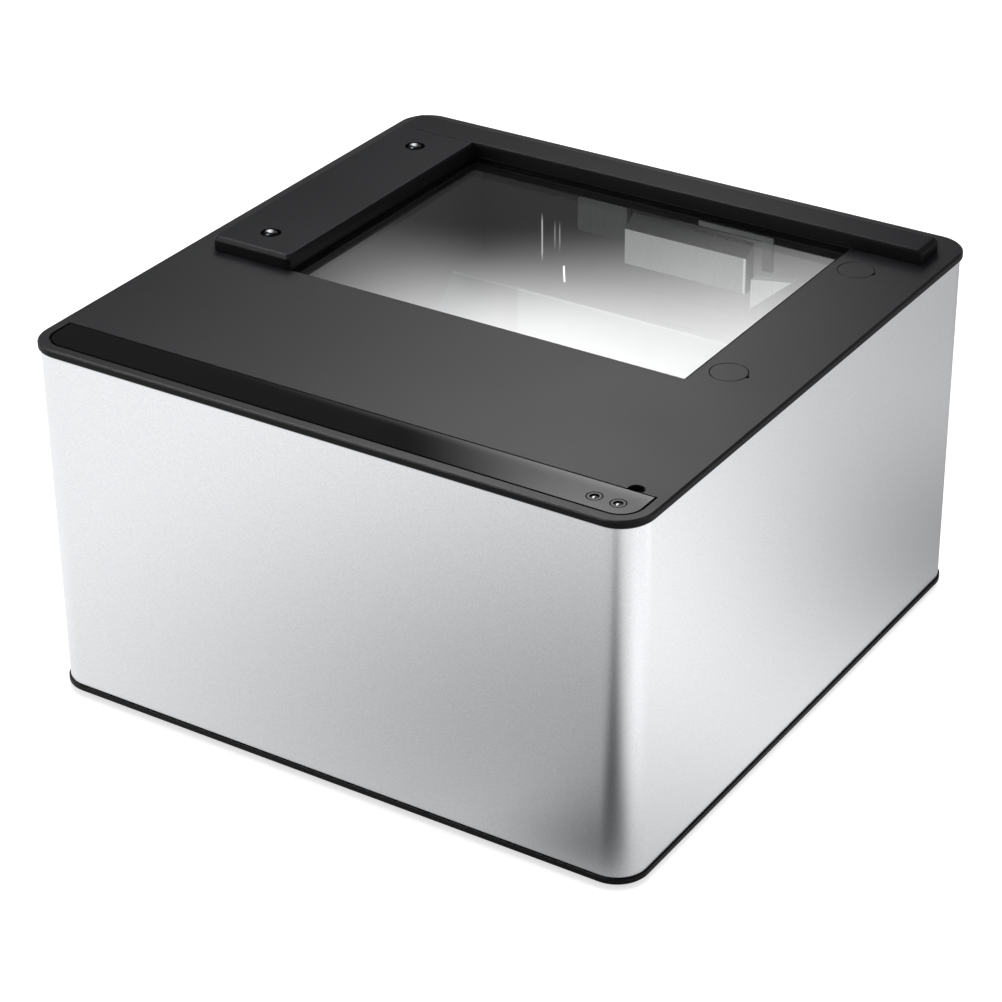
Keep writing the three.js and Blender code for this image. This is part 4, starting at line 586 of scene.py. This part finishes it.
def floor_material():
    """A pale floor that takes the shadow. What is glossy sees a painted reflection instead: a glowing floor
    with lighter and darker spots and a dark band painted on it.
    """
    material, tree, output = emptied("floor_pale")
    path = tree.nodes.new("ShaderNodeLightPath")
    diffuse = tree.nodes.new("ShaderNodeBsdfDiffuse")
    diffuse.inputs["Color"].default_value = FLOOR_GREY
    glow = tree.nodes.new("ShaderNodeEmission")
    lit = [(path.outputs["Is Camera Ray"], FLOOR_GLOW)]
    tree.links.new(weighted_sum(tree, 0.0, lit), glow.inputs["Strength"])
    pale = tree.nodes.new("ShaderNodeAddShader")
    tree.links.new(diffuse.outputs[0], pale.inputs[0])
    tree.links.new(glow.outputs[0], pale.inputs[1])
    place = coordinates(tree)
    across = along(tree, place, BAND_ACROSS)
    band = times(tree, [
        fade(tree, across, *BAND_START),
        fade(tree, across, *BAND_END),
        fade(tree, along(tree, place, Y), *BAND_AHEAD),
    ])
    spots = [(fade(tree, away(tree, place, centre), radius, 0.0), weight) for centre, radius, weight in PAINTED_FLOOR_SPOTS]
    # Painted reflection: the glow that glossy rays see on the floor
    painted_floor = tree.nodes.new("ShaderNodeEmission")
    tree.links.new(weighted_sum(tree, PAINTED_FLOOR_LEVEL, [*spots, (band, BAND_LEVEL)]), painted_floor.inputs["Strength"])
    mix = tree.nodes.new("ShaderNodeMixShader")
    tree.links.new(path.outputs["Is Glossy Ray"], mix.inputs["Fac"])
    tree.links.new(pale.outputs[0], mix.inputs[1])
    tree.links.new(painted_floor.outputs[0], mix.inputs[2])
    tree.links.new(mix.outputs[0], output.inputs["Surface"])
    return material


floor_corners = [(x * FLOOR_HALF, y * FLOOR_HALF, 0) for x, y in ((-1, -1), (1, -1), (1, 1), (-1, 1))]
stage_plane("floor", floor_corners, floor_material())

# A lit panel behind the object, which the glossy strip mirrors. It is laid out at PANEL_Y and then
# enlarged about the camera's mirror image in the strip, so that the strip shows the same pattern.
PANEL_Y = 0.2
PANEL_LEFT, PANEL_RIGHT = -0.5, 0.15
PANEL_LOW, PANEL_HIGH = 0.14, 0.95
PANEL_CENTRE = Vector((0.4339, -0.6779, -0.2717))
PANEL_SCALE = 1.228

PANEL_BAND = 2.3
PANEL_BAND_SLANT = (0.38, 0, 1)
PANEL_BAND_RISING = (0.157, 0.237)
PANEL_BAND_TOP = (0.3, 0.252)
PANEL_BAND_ENDS = [(0.05, -0.03), (-0.32, -0.2)]

# Soft round lights on the panel: centre, radius and level
PANEL_SPOTS = [
    ((-0.1, PANEL_Y, 0.39), 0.09, 8.2),
    ((-0.19, PANEL_Y, 0.5), 0.15, 10.4),
    ((-0.1, PANEL_Y, 0.55), 0.15, 2.0),
    ((-0.22, PANEL_Y, 0.7), 0.24, 3.1),
    ((-0.04, PANEL_Y, 0.27), 0.09, 1.1),
    ((-0.096, PANEL_Y, 0.306), 0.085, 1.45),
]


def panel_material():
    """A soft-edged lit band below a cluster of soft round lights, which shine to the front only."""
    material, tree, output = emptied("panel_light")
    place = coordinates(tree)
    across = along(tree, place, X)
    edges = [fade(tree, across, *end) for end in PANEL_BAND_ENDS]
    edges.append(fade(tree, along(tree, place, PANEL_BAND_SLANT), *PANEL_BAND_RISING))
    edges.append(fade(tree, along(tree, place, Z), *PANEL_BAND_TOP))
    lit = [(times(tree, edges), PANEL_BAND)]
    for centre, radius, level in PANEL_SPOTS:
        lit.append((fade(tree, away(tree, place, centre), radius, 0.0), level))
    light = tree.nodes.new("ShaderNodeEmission")
    tree.links.new(weighted_sum(tree, 0.0, lit), light.inputs["Strength"])
    clear = tree.nodes.new("ShaderNodeBsdfTransparent")
    front = tree.nodes.new("ShaderNodeAddShader")
    tree.links.new(light.outputs[0], front.inputs[0])
    tree.links.new(clear.outputs[0], front.inputs[1])
    side = tree.nodes.new("ShaderNodeNewGeometry")
    mix = tree.nodes.new("ShaderNodeMixShader")
    tree.links.new(side.outputs["Backfacing"], mix.inputs["Fac"])
    tree.links.new(front.outputs[0], mix.inputs[1])
    tree.links.new(clear.outputs[0], mix.inputs[2])
    tree.links.new(mix.outputs[0], output.inputs["Surface"])
    return material


panel_corners = [
    (PANEL_LEFT, PANEL_Y, PANEL_LOW),
    (PANEL_RIGHT, PANEL_Y, PANEL_LOW),
    (PANEL_RIGHT, PANEL_Y, PANEL_HIGH),
    (PANEL_LEFT, PANEL_Y, PANEL_HIGH),
]
panel = stage_plane("panel", panel_corners, panel_material())
panel.scale = (PANEL_SCALE,) * 3
panel.location = PANEL_CENTRE * (1 - PANEL_SCALE)
panel.visible_camera = False
panel.visible_diffuse = False
panel.visible_shadow = False


def area_lamp(name, place, target, size, power):
    """A rectangular lamp at a place that shines at a target."""
    light = bpy.data.lights.new(name, "AREA")
    light.shape = "RECTANGLE"
    light.size, light.size_y = size
    light.energy = power
    lamp = bpy.data.objects.new(name, light)
    back = (Vector(place) - Vector(target)).normalized()
    side = back.cross(Vector(Z)).normalized()
    matrix = Matrix((side, back.cross(side), back)).transposed().to_4x4()
    matrix.translation = place
    lamp.matrix_world = matrix
    bpy.context.collection.objects.link(lamp)
    return lamp


area_lamp("key_left", place=(-1.4, -1.3, 0.75), target=(0, 0, 0.06), size=(1.2, 0.8), power=7)
area_lamp("fill_right", place=(1.5, 0.3, 0.8), target=(0, 0, 0.06), size=(0.9, 1.2), power=4)
top = area_lamp("top", place=(0.1, 0.1, 1.8), target=(0, 0, 0.1), size=(1.4, 1.4), power=14)
top.visible_glossy = False
top.visible_transmission = False

ROOM_LEVEL = 0.1
MATT_LEVEL = 0.5
CLEAR_LEVEL = 0.12
HORIZON_LEVEL = 0.65
FRONT_LEFT = (-0.47, -0.12, 0.875)
FRONT_LEFT_LEVEL = 26.0


def switched(tree, path, ray, off, on):
    """The off strength, or the on strength for rays of one kind."""
    node = tree.nodes.new("ShaderNodeMapRange")
    tree.links.new(path.outputs[ray], node.inputs["Value"])
    for socket, value in (("To Min", off), ("To Max", on)):
        if isinstance(value, float):
            node.inputs[socket].default_value = value
        else:
            tree.links.new(value, node.inputs[socket])
    return node.outputs["Result"]


def studio_world():
    """White to the camera and even to what is matt. What is glossy sees a dark room with two lit parts."""
    world = bpy.data.worlds.new("studio")
    world.use_nodes = True
    tree = world.node_tree
    tree.nodes.clear()
    output = tree.nodes.new("ShaderNodeOutputWorld")
    background = tree.nodes.new("ShaderNodeBackground")
    background.inputs["Color"].default_value = (1, 1, 1, 1)
    path = tree.nodes.new("ShaderNodeLightPath")
    direction = tree.nodes.new("ShaderNodeTexCoord").outputs["Generated"]
    to_front = fade(tree, along(tree, direction, Y), 0.5, -0.6)
    near_horizon = fade(tree, along(tree, direction, Z), 0.62, 0.3)
    horizon = times(tree, [to_front, near_horizon])
    front_left = fade(tree, away(tree, direction, FRONT_LEFT), 0.24, 0.12)
    lit = [(horizon, HORIZON_LEVEL), (front_left, FRONT_LEFT_LEVEL)]
    room = weighted_sum(tree, ROOM_LEVEL, lit)
    seen = switched(tree, path, "Is Transmission Ray", room, CLEAR_LEVEL)
    unseen = switched(tree, path, "Is Glossy Ray", MATT_LEVEL, seen)
    strength = switched(tree, path, "Is Camera Ray", unseen, 1.0)
    tree.links.new(strength, background.inputs["Strength"])
    tree.links.new(background.outputs[0], output.inputs["Surface"])
    return world


bpy.context.scene.world = studio_world()


# Camera, found by fitting a pinhole view to the photograph's edges
CAMERA_PLACE = (0.4339, -0.6779, 0.5025)
CAMERA_AZIMUTH = math.radians(32.9)
CAMERA_ELEVATION = math.radians(29.567)
CAMERA_ROLL = math.radians(-0.608)
SENSOR_WIDTH = 36
PHOTO_WIDTH_PX = 1002
FOCAL_LENGTH_PX = 3072.74


def photo_camera():
    """The camera of the photograph."""
    level_share = math.cos(CAMERA_ELEVATION)
    back = Vector((
        math.sin(CAMERA_AZIMUTH) * level_share,
        -math.cos(CAMERA_AZIMUTH) * level_share,
        math.sin(CAMERA_ELEVATION),
    ))
    level = (-back).cross(Vector(Z)).normalized()
    upward = level.cross(-back)
    right = level * math.cos(CAMERA_ROLL) + upward * math.sin(CAMERA_ROLL)
    up = upward * math.cos(CAMERA_ROLL) - level * math.sin(CAMERA_ROLL)
    data = bpy.data.cameras.new("photo_camera")
    data.sensor_width = SENSOR_WIDTH
    data.lens = SENSOR_WIDTH * FOCAL_LENGTH_PX / PHOTO_WIDTH_PX
    camera = bpy.data.objects.new("photo_camera", data)
    matrix = Matrix((right, up, back)).transposed().to_4x4()
    matrix.translation = CAMERA_PLACE
    camera.matrix_world = matrix
    bpy.context.collection.objects.link(camera)
    return camera


bpy.context.scene.camera = photo_camera()
bpy.context.scene.view_settings.view_transform = "Standard"
